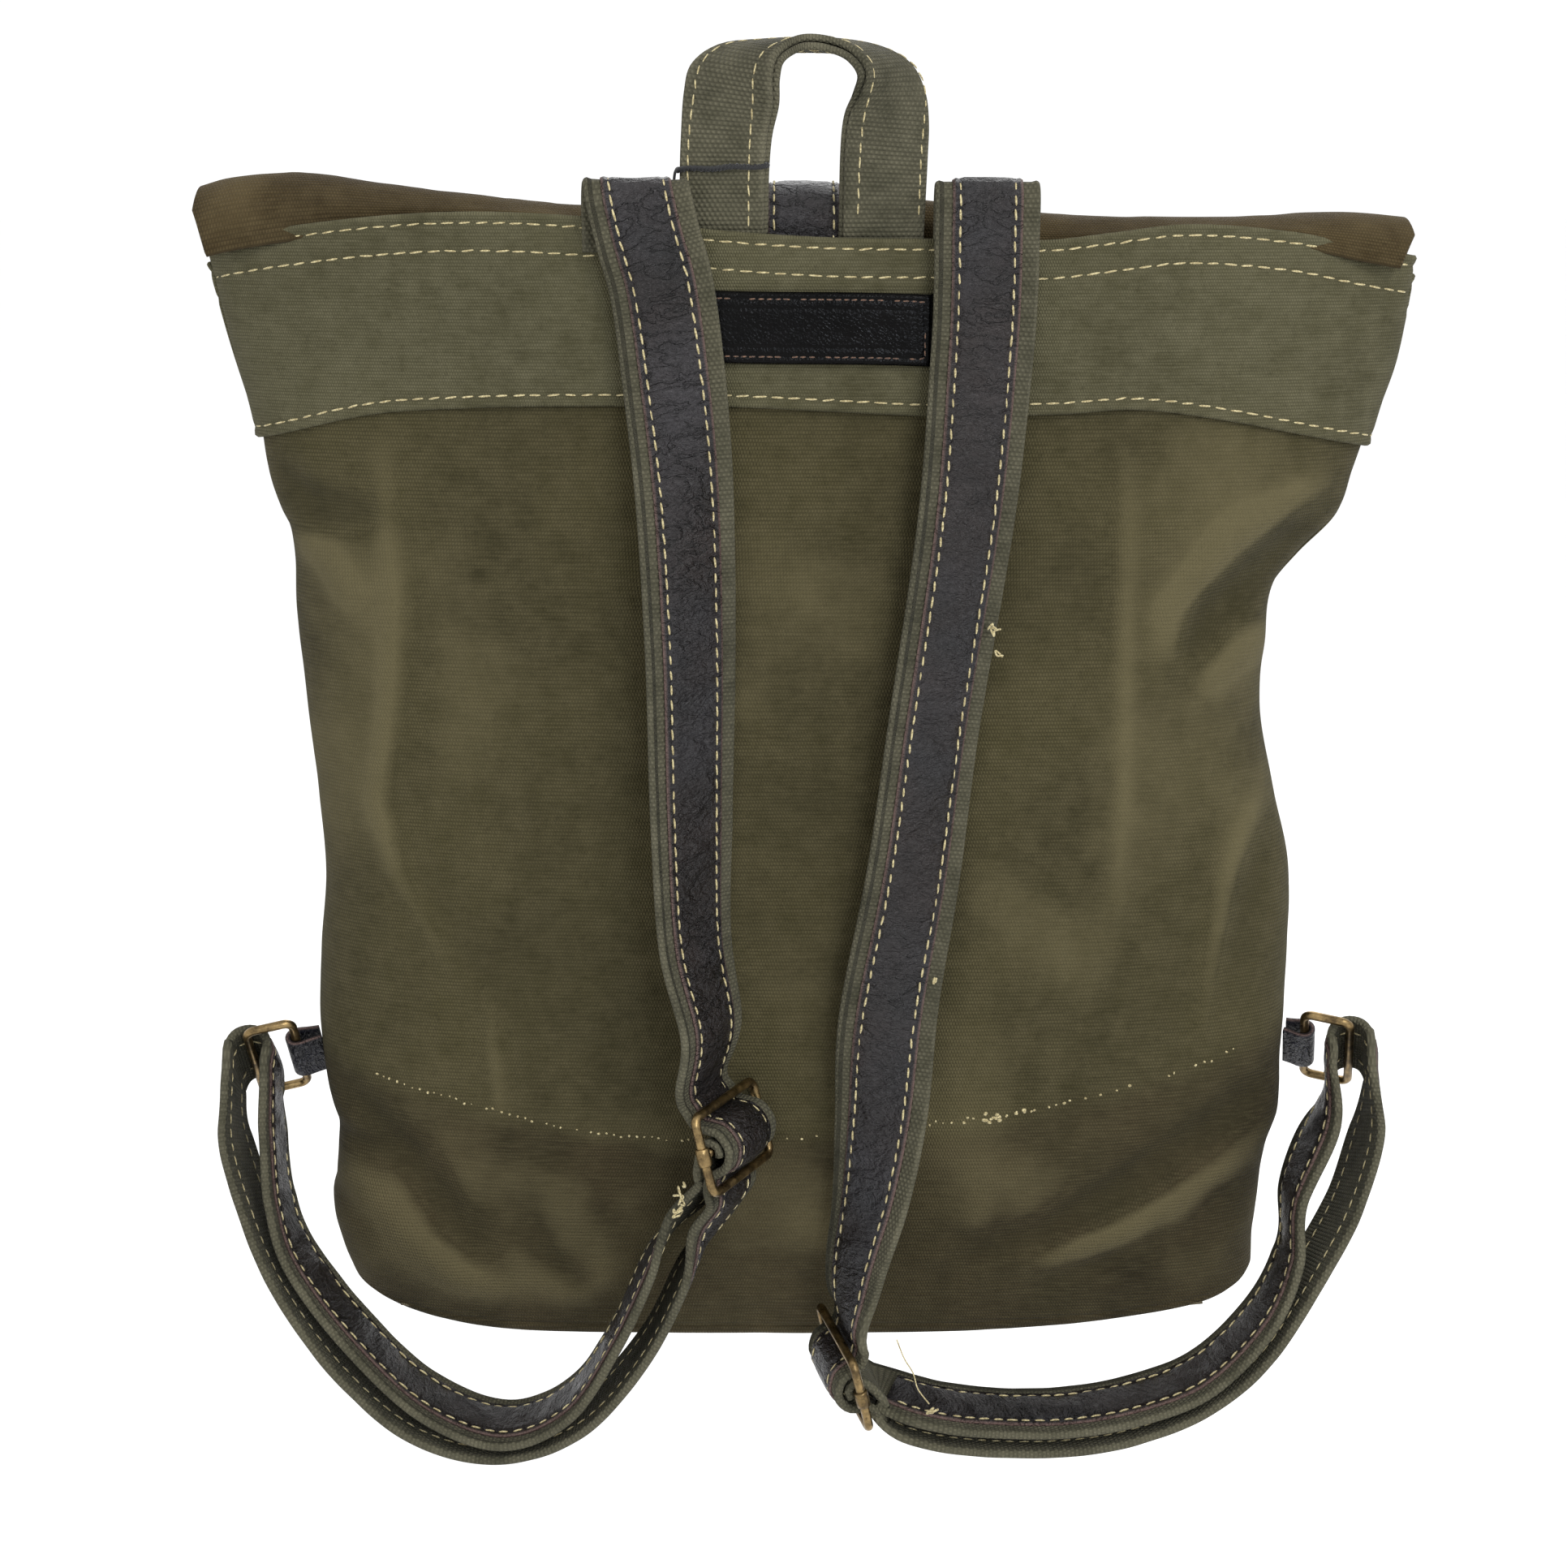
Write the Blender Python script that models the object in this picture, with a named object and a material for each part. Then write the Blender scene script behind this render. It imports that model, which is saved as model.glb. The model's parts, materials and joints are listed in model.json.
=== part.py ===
"""School backpack: canvas body hung from its haul handle, shoulder straps hanging.

Frame: +Z up, -Y is the side that lies against the wearer's back, +Y is the front
with the flap's closure. Lengths below are millimetres above the base's underside;
they become metres, measured from the place where the handle hangs, when a mesh is made.
"""
import math

import bmesh
import bpy
from mathutils import Vector

MM = 0.001
GAP = 0.4               # play left between pieces that touch

# ---- body -----------------------------------------------------------------
RIM_Z = 446.0           # top edge of the panels at the middle
RIM_DROP = 9.0          # how much lower the rim is at its two corners
WALL = 2.4              # canvas panel, sewn double
PANEL_FOOT = 24.0       # height where the panels meet the base
YOKE_FOOT = 379.0       # bottom edge of the band round the rim
YOKE_FOOT_DROP = 13.0
# height, half width left, half width right, back, front, squareness
STATIONS = (
    (24.0, 190.0, 189.0, 3.0, 84.0, 4.2),
    (60.0, 195.0, 194.0, -4.0, 90.0, 3.8),
    (110.0, 196.0, 198.0, -8.0, 95.0, 3.4),
    (180.0, 197.0, 198.0, -9.0, 96.0, 3.2),
    (250.0, 198.0, 188.0, -9.0, 93.0, 3.0),
    (320.0, 199.0, 191.0, -7.0, 84.0, 2.8),
    (375.0, 206.0, 208.0, -4.0, 69.0, 2.5),
    (446.0, 221.0, 225.0, -2.0, 46.0, 2.2),
)

# ---- flap and closure -----------------------------------------------------
FLAP_HINGE = (12.0, 448.0)      # y, z of the flap's back edge
FLAP_FOLD = (62.0, 446.0)       # y, z of the fold over the front of the mouth
FLAP_THICK = 1.8
FLAP_HALF_TOP = 222.0
FLAP_HALF_FOOT = 194.0
FLAP_FOOT = 318.0
CLOSURE_HALF = 13.4
CLOSURE_THICK = 2.8
BUCKLE_Z = 322.0

# ---- handle ---------------------------------------------------------------
HANDLE_WIDTH = 30.5
HANDLE_THICK = 3.0
HANDLE_SPREAD = 29.5            # middle of each leg from the centre plane
HANDLE_TOP = 508.0
HANDLE_Y = 1.1
HANG = Vector((0.0, HANDLE_Y, HANDLE_TOP - HANDLE_THICK / 2))   # the finished origin

# ---- shoulder straps ------------------------------------------------------
STRAP_WIDTH = 38.0
STRAP_THICK = 3.2
LEATHER_WIDTH = 25.0
LEATHER_THICK = 1.2
STRAP_SPLIT = 402.0             # height where the swinging length begins
BEND = math.radians(14)          # most a strap bends between two sections
TWIST = math.radians(5.5)        # and most that it twists
WIRE = 3.6                      # brass wire of rings and slides
SLIDE_WIDTH = 50.0
SLIDE_HEIGHT = 34.0
RING_BAR = 50.0
RING_DEPTH = 22.0
TAB_WIDTH = 24.0

# ---- front pocket ---------------------------------------------------------
POCKET_HALF = 130.0
POCKET_FOOT = 62.0
POCKET_TOP = 214.0
POCKET_PROUD = 9.0
ZIP_HALF = 90.0
ZIP_Z = 222.0


def clear_scene():
    for obj in list(bpy.data.objects):
        bpy.data.objects.remove(obj, do_unlink=True)


def material(name, colour, rough, metal=0.0):
    mat = bpy.data.materials.new(name)
    mat.use_nodes = True
    bsdf = mat.node_tree.nodes["Principled BSDF"]
    bsdf.inputs["Base Color"].default_value = (*colour, 1.0)
    bsdf.inputs["Roughness"].default_value = rough
    bsdf.inputs["Metallic"].default_value = metal
    return mat


def make(name, bm, mat, smooth=True, pivot=(0.0, 0.0, 0.0)):
    """Turn a bmesh in millimetres into an object, placed from the hang point, whose
    own origin is the pivot."""
    bmesh.ops.recalc_face_normals(bm, faces=bm.faces)
    off = Vector(pivot)
    for v in bm.verts:
        v.co = (v.co - off) * MM
    mesh = bpy.data.meshes.new(name)
    bm.to_mesh(mesh)
    bm.free()
    obj = bpy.data.objects.new(name, mesh)
    obj.location = (off - HANG) * MM
    bpy.context.collection.objects.link(obj)
    obj.data.materials.append(mat)
    if smooth:
        mesh.shade_smooth()
        mesh.set_sharp_from_angle(angle=math.radians(40))
    return obj


# ---- small maths ----------------------------------------------------------
def spline(points, t):
    """Centripetal-like smooth curve through the points, t from 0 to len-1."""
    n = len(points)
    i = min(int(t), n - 2)
    f = t - i
    p1, p2 = points[i], points[i + 1]
    p0 = points[i - 1] if i > 0 else p1 * 2 - p2
    p3 = points[i + 2] if i + 2 < n else p2 * 2 - p1
    return ((p1 * 2) + (p2 - p0) * f + (p0 * 2 - p1 * 5 + p2 * 4 - p3) * f * f
            + (p1 * 3 - p0 - p2 * 3 + p3) * f ** 3) * 0.5


def resample(points, step):
    """Points on the spline a fixed distance apart."""
    fine = [spline(points, k / 24.0) for k in range(24 * (len(points) - 1) + 1)]
    run = [0.0]
    for a, b in zip(fine, fine[1:]):
        run.append(run[-1] + (Vector(b[:3]) - Vector(a[:3])).length)
    count = max(2, round(run[-1] / step))
    out, j = [], 0
    for k in range(count + 1):
        want = run[-1] * k / count
        while j < len(run) - 2 and run[j + 1] < want:
            j += 1
        f = (want - run[j]) / max(run[j + 1] - run[j], 1e-9)
        out.append(fine[j].lerp(fine[j + 1], min(max(f, 0.0), 1.0)))
    return out


def station(z):
    """Body section values at a height, smooth between the stations."""
    rows = STATIONS
    z = min(max(z, rows[0][0]), rows[-1][0])
    i = 0
    while i < len(rows) - 2 and rows[i + 1][0] < z:
        i += 1
    a, b = rows[i], rows[i + 1]
    before, after = rows[max(i - 1, 0)], rows[min(i + 2, len(rows) - 1)]
    f = (z - a[0]) / (b[0] - a[0])
    vals = []
    for k in range(1, 6):
        slope0 = (b[k] - before[k]) / (b[0] - before[0]) * (b[0] - a[0])
        slope1 = (after[k] - a[k]) / (after[0] - a[0]) * (b[0] - a[0])
        vals.append((2 * f ** 3 - 3 * f ** 2 + 1) * a[k] + (f ** 3 - 2 * f ** 2 + f) * slope0
                    + (3 * f ** 2 - 2 * f ** 3) * b[k] + (f ** 3 - f ** 2) * slope1)
    return vals


def half_section(z, inset, front, count, trim=0.0):
    """Evenly spaced points along the back or front half of the body's section."""
    left, right, back, fore, square = station(z)
    mid = (back + fore) / 2
    deep = (fore - back) / 2 - inset
    sign = 1.0 if front else -1.0
    dense = []
    for k in range(241):
        ang = math.pi * (1 - k / 240.0)
        c, s = math.cos(ang), math.sin(ang)
        wide = (right if c > 0 else left) - inset
        x = math.copysign(abs(c) ** (2 / square), c) * wide
        y = mid + sign * abs(s) ** (2 / square) * deep
        dense.append(Vector((x, y)))
    run = [0.0]
    for a, b in zip(dense, dense[1:]):
        run.append(run[-1] + (b - a).length)
    out, j = [], 0
    for k in range(count):
        want = trim + (run[-1] - 2 * trim) * k / (count - 1)
        while j < len(run) - 2 and run[j + 1] < want:
            j += 1
        f = (want - run[j]) / max(run[j + 1] - run[j], 1e-9)
        out.append(dense[j].lerp(dense[j + 1], min(max(f, 0.0), 1.0)))
    return out


def front_y(x, z, proud):
    """Y of the front surface at a place, moved outward."""
    left, right, back, fore, square = station(z)
    wide = (right if x > 0 else left)
    mid, deep = (back + fore) / 2, (fore - back) / 2
    u = min(abs(x) / wide, 0.999)
    return mid + deep * (1 - u ** square) ** (1 / square) + proud


def back_y(x, z, proud):
    """Y of the back surface at a place, moved outward (toward -Y)."""
    left, right, back, fore, square = station(z)
    wide = (right if x > 0 else left)
    mid, deep = (back + fore) / 2, (fore - back) / 2
    u = min(abs(x) / wide, 0.999)
    return mid - deep * (1 - u ** square) ** (1 / square) - proud


# ---- mesh builders --------------------------------------------------------
def sheet(layers):
    """Closed solid between two equal grids of points, layers[k][row][column]."""
    bm = bmesh.new()
    grids = [[[bm.verts.new(p) for p in row] for row in layer] for layer in layers]
    rows, cols = len(grids[0]), len(grids[0][0])
    for g in grids:
        for i in range(rows - 1):
            for j in range(cols - 1):
                bm.faces.new((g[i][j], g[i][j + 1], g[i + 1][j + 1], g[i + 1][j]))
    a, b = grids
    for j in range(cols - 1):
        for i in (0, rows - 1):
            bm.faces.new((a[i][j], a[i][j + 1], b[i][j + 1], b[i][j]))
    for i in range(rows - 1):
        for j in (0, cols - 1):
            bm.faces.new((a[i][j], a[i + 1][j], b[i + 1][j], b[i][j]))
    return bm


def cup(outer, inner):
    """Closed solid between two stacks of rings; the last ring of each is capped."""
    bm = bmesh.new()
    stacks = [[[bm.verts.new(p) for p in ring] for ring in stack] for stack in (outer, inner)]
    n = len(stacks[0][0])
    for stack in stacks:
        for lo, hi in zip(stack, stack[1:]):
            for j in range(n):
                k = (j + 1) % n
                bm.faces.new((lo[j], lo[k], hi[k], hi[j]))
        bm.faces.new(stack[-1])
    for j in range(n):
        k = (j + 1) % n
        bm.faces.new((stacks[0][0][j], stacks[0][0][k], stacks[1][0][k], stacks[1][0][j]))
    return bm


def frames(route, step):
    """Place, direction, width and face vectors along a route of (x,y,z,wx,wy,wz).

    Sections stand closer together where the strap bends or twists.
    """
    pts = resample([Vector6(p) for p in route], 1.0)
    every = []
    for k, p in enumerate(pts):
        a, b = pts[max(k - 1, 0)], pts[min(k + 1, len(pts) - 1)]
        along = (Vector(b[:3]) - Vector(a[:3])).normalized()
        wide = Vector(p[3:])
        wide = (wide - along * wide.dot(along)).normalized()
        every.append((Vector(p[:3]), along, wide, along.cross(wide)))
    out = [every[0]]
    for k in range(1, len(every) - 1):
        last, nxt = out[-1], every[k + 1]
        far = (nxt[0] - last[0]).length > step
        if far or last[1].angle(nxt[1]) > BEND or last[2].angle(nxt[2]) > TWIST:
            out.append(every[k])
    return out + [every[-1]]


def Vector6(values):
    return Vector(tuple(float(v) for v in values))


def ribbon(track, width, thick, lift=0.0):
    """Flat strap along a track; lift moves it toward its face side."""
    bm = bmesh.new()
    rings = []
    for place, _, wide, face in track:
        c = place + face * lift
        hw, ht = wide * width / 2, face * thick / 2
        rings.append([bm.verts.new(c + s) for s in (-hw - ht, hw - ht, hw + ht, -hw + ht)])
    skin_strap(bm, rings)
    return bm


def skin_strap(bm, rings):
    """Faces of a strap with four-cornered sections."""
    for lo, hi in zip(rings, rings[1:]):
        for a, b in ((0, 1), (3, 2)):      # both faces split along the same diagonal
            bm.faces.new((lo[a], lo[b], hi[b]))
            bm.faces.new((lo[a], hi[b], hi[a]))
        for a, b in ((1, 2), (3, 0)):
            bm.faces.new((lo[a], lo[b], hi[b], hi[a]))
    bm.faces.new(rings[0])
    bm.faces.new(rings[-1])


def wire(points, radius, closed, sides=8):
    """Round wire through the points."""
    bm = bmesh.new()
    n = len(points)
    normal = None
    rings = []
    for k, p in enumerate(points):
        a = points[(k - 1) % n] if closed or k else p
        b = points[(k + 1) % n] if closed or k < n - 1 else p
        along = (b - a).normalized()
        if normal is None:
            normal = along.orthogonal().normalized()
        normal = (normal - along * normal.dot(along)).normalized()
        side = along.cross(normal)
        rings.append([bm.verts.new(p + (normal * math.cos(t) + side * math.sin(t)) * radius)
                      for t in (2 * math.pi * j / sides for j in range(sides))])
    pairs = list(zip(rings, rings[1:]))
    if closed:
        pairs.append((rings[-1], rings[0]))
    for lo, hi in pairs:
        for j in range(sides):
            m = (j + 1) % sides
            bm.faces.new((lo[j], lo[m], hi[m], hi[j]))
    if not closed:
        bm.faces.new(rings[0])
        bm.faces.new(rings[-1])
    return bm


def rounded_loop(half_u, half_v, radius, arc=4):
    """Corner-rounded rectangle in the plane, as (u, v) pairs."""
    out = []
    for cu, cv, start in ((1, 1, 0), (-1, 1, 90), (-1, -1, 180), (1, -1, 270)):
        for k in range(arc + 1):
            t = math.radians(start + 90 * k / arc)
            out.append((cu * (half_u - radius) + radius * math.cos(t),
                        cv * (half_v - radius) + radius * math.sin(t)))
    return out


def block(corner_lo, corner_hi, bevel=0.0):
    bm = bmesh.new()
    bmesh.ops.create_cube(bm, size=1.0)
    lo, hi = Vector(corner_lo), Vector(corner_hi)
    for v in bm.verts:
        v.co = Vector([(lo[i] + hi[i]) / 2 + v.co[i] * (hi[i] - lo[i]) for i in range(3)])
    if bevel:
        bmesh.ops.bevel(bm, geom=bm.edges[:], offset=bevel, segments=1, affect="EDGES",
                        profile=0.5)
    return bm


def disc(centre, radius, depth, sides=20):
    """Short round piece whose axis is Y."""
    bm = bmesh.new()
    bmesh.ops.create_cone(bm, cap_ends=True, segments=sides, radius1=radius, radius2=radius,
                          depth=depth)
    for v in bm.verts:
        v.co = Vector((v.co.x, -v.co.z, v.co.y)) + Vector(centre)
    return bm


# ---- body pieces ----------------------------------------------------------
def wall_piece(front, foot, top, outer, inner, rows, cols, trim,
               foot_drop=0.0, top_drop=RIM_DROP):
    layers = []
    for inset in (outer, inner):
        grid = []
        for i in range(rows):
            v = i / (rows - 1)
            ring = []
            for p in half_section(foot + (top - foot) * v, inset, front, cols, trim):
                corner = (abs(p.x) / 222.0) ** 3
                z = foot + (top - foot) * v - corner * (top_drop * v + foot_drop * (1 - v))
                ring.append(Vector((p.x, p.y, z)))
            grid.append(ring)
        layers.append(grid)
    return sheet(layers)


def full_ring(z, inset, count):
    back = half_section(z, inset, False, count)
    fore = half_section(z, inset, True, count)
    return [Vector((p.x, p.y, z)) for p in back + fore[-2:0:-1]]


def bowl_rings(top_z, inset, floor_z, shrink, count):
    """Rings from an upright edge turning into a flat floor."""
    rings = []
    edge = full_ring(top_z, inset, count)
    centre = Vector((0.0, 43.0, 0.0))
    for r in shrink:
        drop = ((1 - r) / (1 - shrink[-1])) if shrink[-1] < 1 else 0.0
        z = floor_z + (top_z - floor_z) * (1 - drop) ** 2.6
        rings.append([Vector((centre.x + (p.x - centre.x) * r,
                              centre.y + (p.y - centre.y) * r, z)) for p in edge])
    return rings


def build_body(mats):
    canvas, band, lining = mats["canvas"], mats["band"], mats["lining"]
    make("back_panel", wall_piece(False, PANEL_FOOT, RIM_Z, 0.0, WALL, 13, 23, 0.2), canvas)
    make("front_panel", wall_piece(True, PANEL_FOOT, RIM_Z, 0.0, WALL, 13, 23, 0.2), canvas)
    make("back_yoke", wall_piece(False, YOKE_FOOT, RIM_Z + 1.0, -2.8, -1.4, 4, 23, 0.2,
                                 YOKE_FOOT_DROP), band)
    make("front_yoke", wall_piece(True, YOKE_FOOT, RIM_Z + 1.0, -2.8, -1.4, 4, 23, 0.2,
                                  YOKE_FOOT_DROP), band)
    steps = (1.0, 0.985, 0.955, 0.91, 0.84, 0.74)
    base_out = bowl_rings(PANEL_FOOT - GAP, 0.0, 0.0, steps, 21)
    base_in = bowl_rings(PANEL_FOOT - GAP, WALL, WALL, steps, 21)
    make("base_panel", cup(base_out, base_in), canvas)

    def lining_stack(inset, floor):
        rings = []
        for k in range(9):
            z = RIM_Z - 13.0 + (PANEL_FOOT + 10.0 - (RIM_Z - 13.0)) * k / 8
            rings.append(full_ring(z, inset, 17))
        rings += bowl_rings(PANEL_FOOT + 2.0, inset + 1.0, floor, (0.975, 0.90, 0.78), 17)
        return rings
    make("lining", cup(lining_stack(WALL + 3.2, 5.0), lining_stack(WALL + 4.6, 6.4)), lining)

    def flat_patch(half, foot, top, proud_lo, proud_hi, cols, surface, sag=0.0):
        layers = []
        for proud in (proud_hi, proud_lo):
            grid = []
            for i in range(5):
                z = foot + (top - foot) * i / 4
                row = []
                for j in range(cols):
                    x = -half + 2 * half * j / (cols - 1)
                    puff = sag * math.sin(math.pi * i / 4) ** 0.5 \
                        * math.sin(math.pi * j / (cols - 1)) ** 0.5 if 0 < i < 4 else 0.0
                    row.append(Vector((x, surface(x, z, proud + puff), z)))
                grid.append(row)
            layers.append(grid)
        return sheet(layers)

    inside = WALL + 6.0
    make("inner_slip_pocket",
         flat_patch(110.0, 200.0, 340.0, -inside - 1.2, -inside, 9, back_y), lining)
    make("front_pocket", flat_patch(POCKET_HALF, POCKET_FOOT, POCKET_TOP, GAP, 1.9, 13,
                                    front_y, POCKET_PROUD), canvas)


# ---- handle ---------------------------------------------------------------
# The band's near edge and far edge, side by side, from the left foot to the right one.
# Both edges start in the plane of the rim; over the top the band lies level.
HANDLE_EDGES = (
    ((-14.5, 1.1, 447.8), (-45.0, 1.1, 447.8)),
    ((-14.9, 1.0, 464.0), (-45.2, 1.3, 464.0)),
    ((-13.4, -0.6, 477.0), (-44.3, 2.4, 478.5)),
    ((-11.8, -3.6, 487.5), (-42.6, 5.0, 491.5)),
    ((-11.2, -7.2, 495.5), (-38.5, 8.4, 500.5)),
    ((-9.6, -10.8, 502.0), (-29.0, 12.0, 504.5)),
    ((-5.0, -13.0, 506.5), (-15.5, 14.6, 507.0)),
    ((0.0, -13.9, 508.0), (0.0, 16.1, 508.0)),
    ((8.5, -13.4, 507.2), (14.0, 15.4, 507.0)),
    ((16.5, -11.4, 503.6), (27.5, 13.4, 503.8)),
    ((20.4, -7.6, 498.2), (37.5, 10.4, 498.6)),
    ((18.6, -3.8, 490.8), (42.6, 7.0, 490.5)),
    ((15.6, -0.8, 483.0), (44.8, 4.0, 480.5)),
    ((14.4, 0.8, 471.0), (44.6, 2.0, 469.0)),
    ((14.2, 1.1, 447.8), (44.2, 1.1, 447.8)),
)


def handle_track():
    """Middle, width vector and face vector of the band, edge to edge."""
    rows = resample([Vector6((*near, *far)) for near, far in HANDLE_EDGES], 4.0)
    pairs = [(Vector(row[:3]), Vector(row[3:])) for row in rows]
    track = []
    for k, (near, far) in enumerate(pairs):
        lo, hi = pairs[max(k - 1, 0)], pairs[min(k + 1, len(pairs) - 1)]
        along = (hi[0] + hi[1] - lo[0] - lo[1]).normalized()
        wide = near - far
        track.append(((near + far) / 2, wide, wide.normalized().cross(along).normalized()))
    return track


def band_between(track, thick):
    """Flat band whose edges are given row by row."""
    bm = bmesh.new()
    rings = []
    for middle, wide, face in track:
        hw, ht = wide / 2, face * thick / 2
        rings.append([bm.verts.new(middle + s) for s in (-hw - ht, hw - ht, hw + ht, -hw + ht)])
    skin_strap(bm, rings)
    return bm


def build_handle(mats):
    make("haul_handle", band_between(handle_track(), HANDLE_THICK), mats["band"])
    # loop of twisted cord tied round the left leg
    hw, ht = HANDLE_WIDTH / 2 + 1.9, HANDLE_THICK / 2 + 1.7
    loop = [Vector((-HANDLE_SPREAD - 0.9 + u, HANDLE_Y + v, 466.0 + 0.04 * u))
            for u, v in rounded_loop(hw, ht, 2.6, 3)]
    make("tag_cord", wire(loop, 0.9, True, 6), mats["cord"])


# ---- flap and closure -----------------------------------------------------
def flap_profile():
    """Rise and fall of the flap between its back edge and its front fold."""
    (y0, z0), (y1, z1) = FLAP_HINGE, FLAP_FOLD
    out = []
    for k in range(9):
        t = k / 8.0
        out.append((y0 + 0.8 + (y1 - y0 - 2.4) * t,
                    z0 + 1.0 + (z1 - z0) * t + 8.0 * math.sin(math.pi * t) ** 0.8))
    return out


def strip_on_profile(profile, half, lift, thick, cols, taper=None):
    """Sheet along a y-z profile; lift and thickness grow along its upper normal."""
    layers = []
    for extra in (lift + thick, lift):
        grid = []
        for k, (y, z) in enumerate(profile):
            ya, za = profile[max(k - 1, 0)]
            yb, zb = profile[min(k + 1, len(profile) - 1)]
            n = Vector((-(zb - za), yb - ya)).normalized()
            h = half if taper is None else half + (taper - half) * k / (len(profile) - 1)
            grid.append([Vector((-h + 2 * h * j / (cols - 1), y + n.x * extra, z + n.y * extra))
                         for j in range(cols)])
        layers.append(grid)
    return sheet(layers)


def front_profile(foot, clear, rows):
    top = FLAP_FOLD[1] + 0.6
    out = []
    for k in range(rows):
        z = top + (foot - top) * k / (rows - 1)
        ease = min(1.0, (top - z) / 30.0)
        y = front_y(0.0, z, clear)
        out.append((max(y, FLAP_FOLD[0] + 1.2) if ease < 1 else y, z))
    return out


def build_flap(mats):
    fold = (0.0, *FLAP_FOLD)
    hinge = (0.0, *FLAP_HINGE)
    canvas, leather, brass = mats["canvas"], mats["leather"], mats["brass"]
    top = flap_profile()
    make("flap_top", strip_on_profile(top, FLAP_HALF_TOP, 0.0, FLAP_THICK, 13), canvas,
         pivot=hinge)
    front = front_profile(FLAP_FOOT, 4.0, 8)
    make("flap_front", strip_on_profile(front, FLAP_HALF_TOP, 0.0, FLAP_THICK, 13,
                                        FLAP_HALF_FOOT), canvas, pivot=fold)
    lift = FLAP_THICK + GAP
    make("closure_strap_top", strip_on_profile(top[:-1], CLOSURE_HALF, lift, CLOSURE_THICK, 2),
         leather, pivot=hinge)
    lower = front_profile(BUCKLE_Z + 12.0, 4.0, 7)
    make("closure_strap_front", strip_on_profile(lower, CLOSURE_HALF, lift, CLOSURE_THICK, 2),
         leather, pivot=fold)
    y = front_y(0.0, BUCKLE_Z, 12.6)
    z = BUCKLE_Z
    loop = [Vector((u, y + 1.0, z + v)) for u, v in rounded_loop(20.0, 14.0, 4.0)]
    make("buckle_frame", wire(loop, 1.8, True), brass, pivot=fold)
    make("buckle_bar", wire([Vector((-17.6, y + 1.0, z)), Vector((17.6, y + 1.0, z))],
                            1.5, False), brass, pivot=fold)
    prong = [Vector((0.0, y + 1.0 + 2.95 * math.sin(t), z + 2.95 * math.cos(t)))
             for t in (math.radians(a) for a in range(-130, 91, 30))]
    prong += [Vector((0.0, y + 4.6, z - 5.0)), Vector((0.0, y + 4.9, z - 15.0))]
    make("buckle_prong", wire(prong, 1.05, False, 6), brass, pivot=(0.0, y + 1.0, z))
    # billet with its pointed end, and the hidden snap under it
    billet = [(front_y(0.0, zz, 6.2), zz) for zz in (z + 11, z - 4, z - 18, z - 32, z - 46)]
    bm = strip_on_profile(billet, CLOSURE_HALF - 1.2, 0.0, CLOSURE_THICK, 2)
    make("closure_billet", bm, leather, pivot=fold)
    zs = z - 34.0
    ys = front_y(0.0, zs, 0.0)
    make("snap_socket", disc((0.0, ys + 1.9, zs), 8.0, 1.7), brass)
    make("snap_stud", disc((0.0, ys + 4.1, zs), 7.0, 1.7), brass, pivot=fold)


# ---- zip ------------------------------------------------------------------
def build_zip(mats):
    def zip_strip(half, z_lo, z_hi, lo, hi, cols):
        layers = []
        for proud in (hi, lo):
            layers.append([[Vector((-half + 2 * half * j / (cols - 1),
                                    front_y(-half + 2 * half * j / (cols - 1), z, proud), z))
                            for j in range(cols)] for z in (z_lo, z_hi)])
        return sheet(layers)
    z = ZIP_Z
    make("zip_tape_lower", zip_strip(ZIP_HALF + 6, z - 7.4, z - 2.9, GAP, 1.3, 9), mats["tape"])
    make("zip_tape_upper", zip_strip(ZIP_HALF + 6, z + 2.9, z + 10.0, GAP, 1.3, 9),
         mats["tape"])
    make("zip_chain", zip_strip(ZIP_HALF, z - 2.4, z + 2.4, GAP, 1.9, 9), mats["brass"])
    for side, name in ((-1, "zip_stop_left"), (1, "zip_stop_right")):
        x = side * (ZIP_HALF + 3.0)
        yy = front_y(x, z, 0.0)
        make(name, block((x - 1.6, yy + 0.9, z - 2.2), (x + 1.6, yy + 2.8, z + 2.2), 0.3),
             mats["brass"])
    x = -ZIP_HALF + 10.0
    yy = front_y(0.0, z, 2.6)
    make("zip_slider", block((x - 5.0, yy, z - 4.4), (x + 5.0, yy + 4.0, z + 4.4), 0.9),
         mats["brass"], pivot=(x, yy, z))
    pull = [(yy + 5.2, z + 1.0), (yy + 6.0, z - 12.0), (yy + 6.0, z - 34.0)]
    layers = [[[Vector((x + s * 4.2, py + q, pz)) for s in (-1, 1)] for py, pz in pull]
              for q in (1.6, -0.4)]
    make("zip_pull", sheet(layers), mats["leather"], pivot=(x, yy + 5.6, z))


# ---- shoulder straps ------------------------------------------------------
def in_slide(slide, along, out):
    """Point in a slide's own plane: down the strap, and out toward its leather."""
    return slide["at"] + slide["down"] * along + slide["out"] * out


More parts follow.
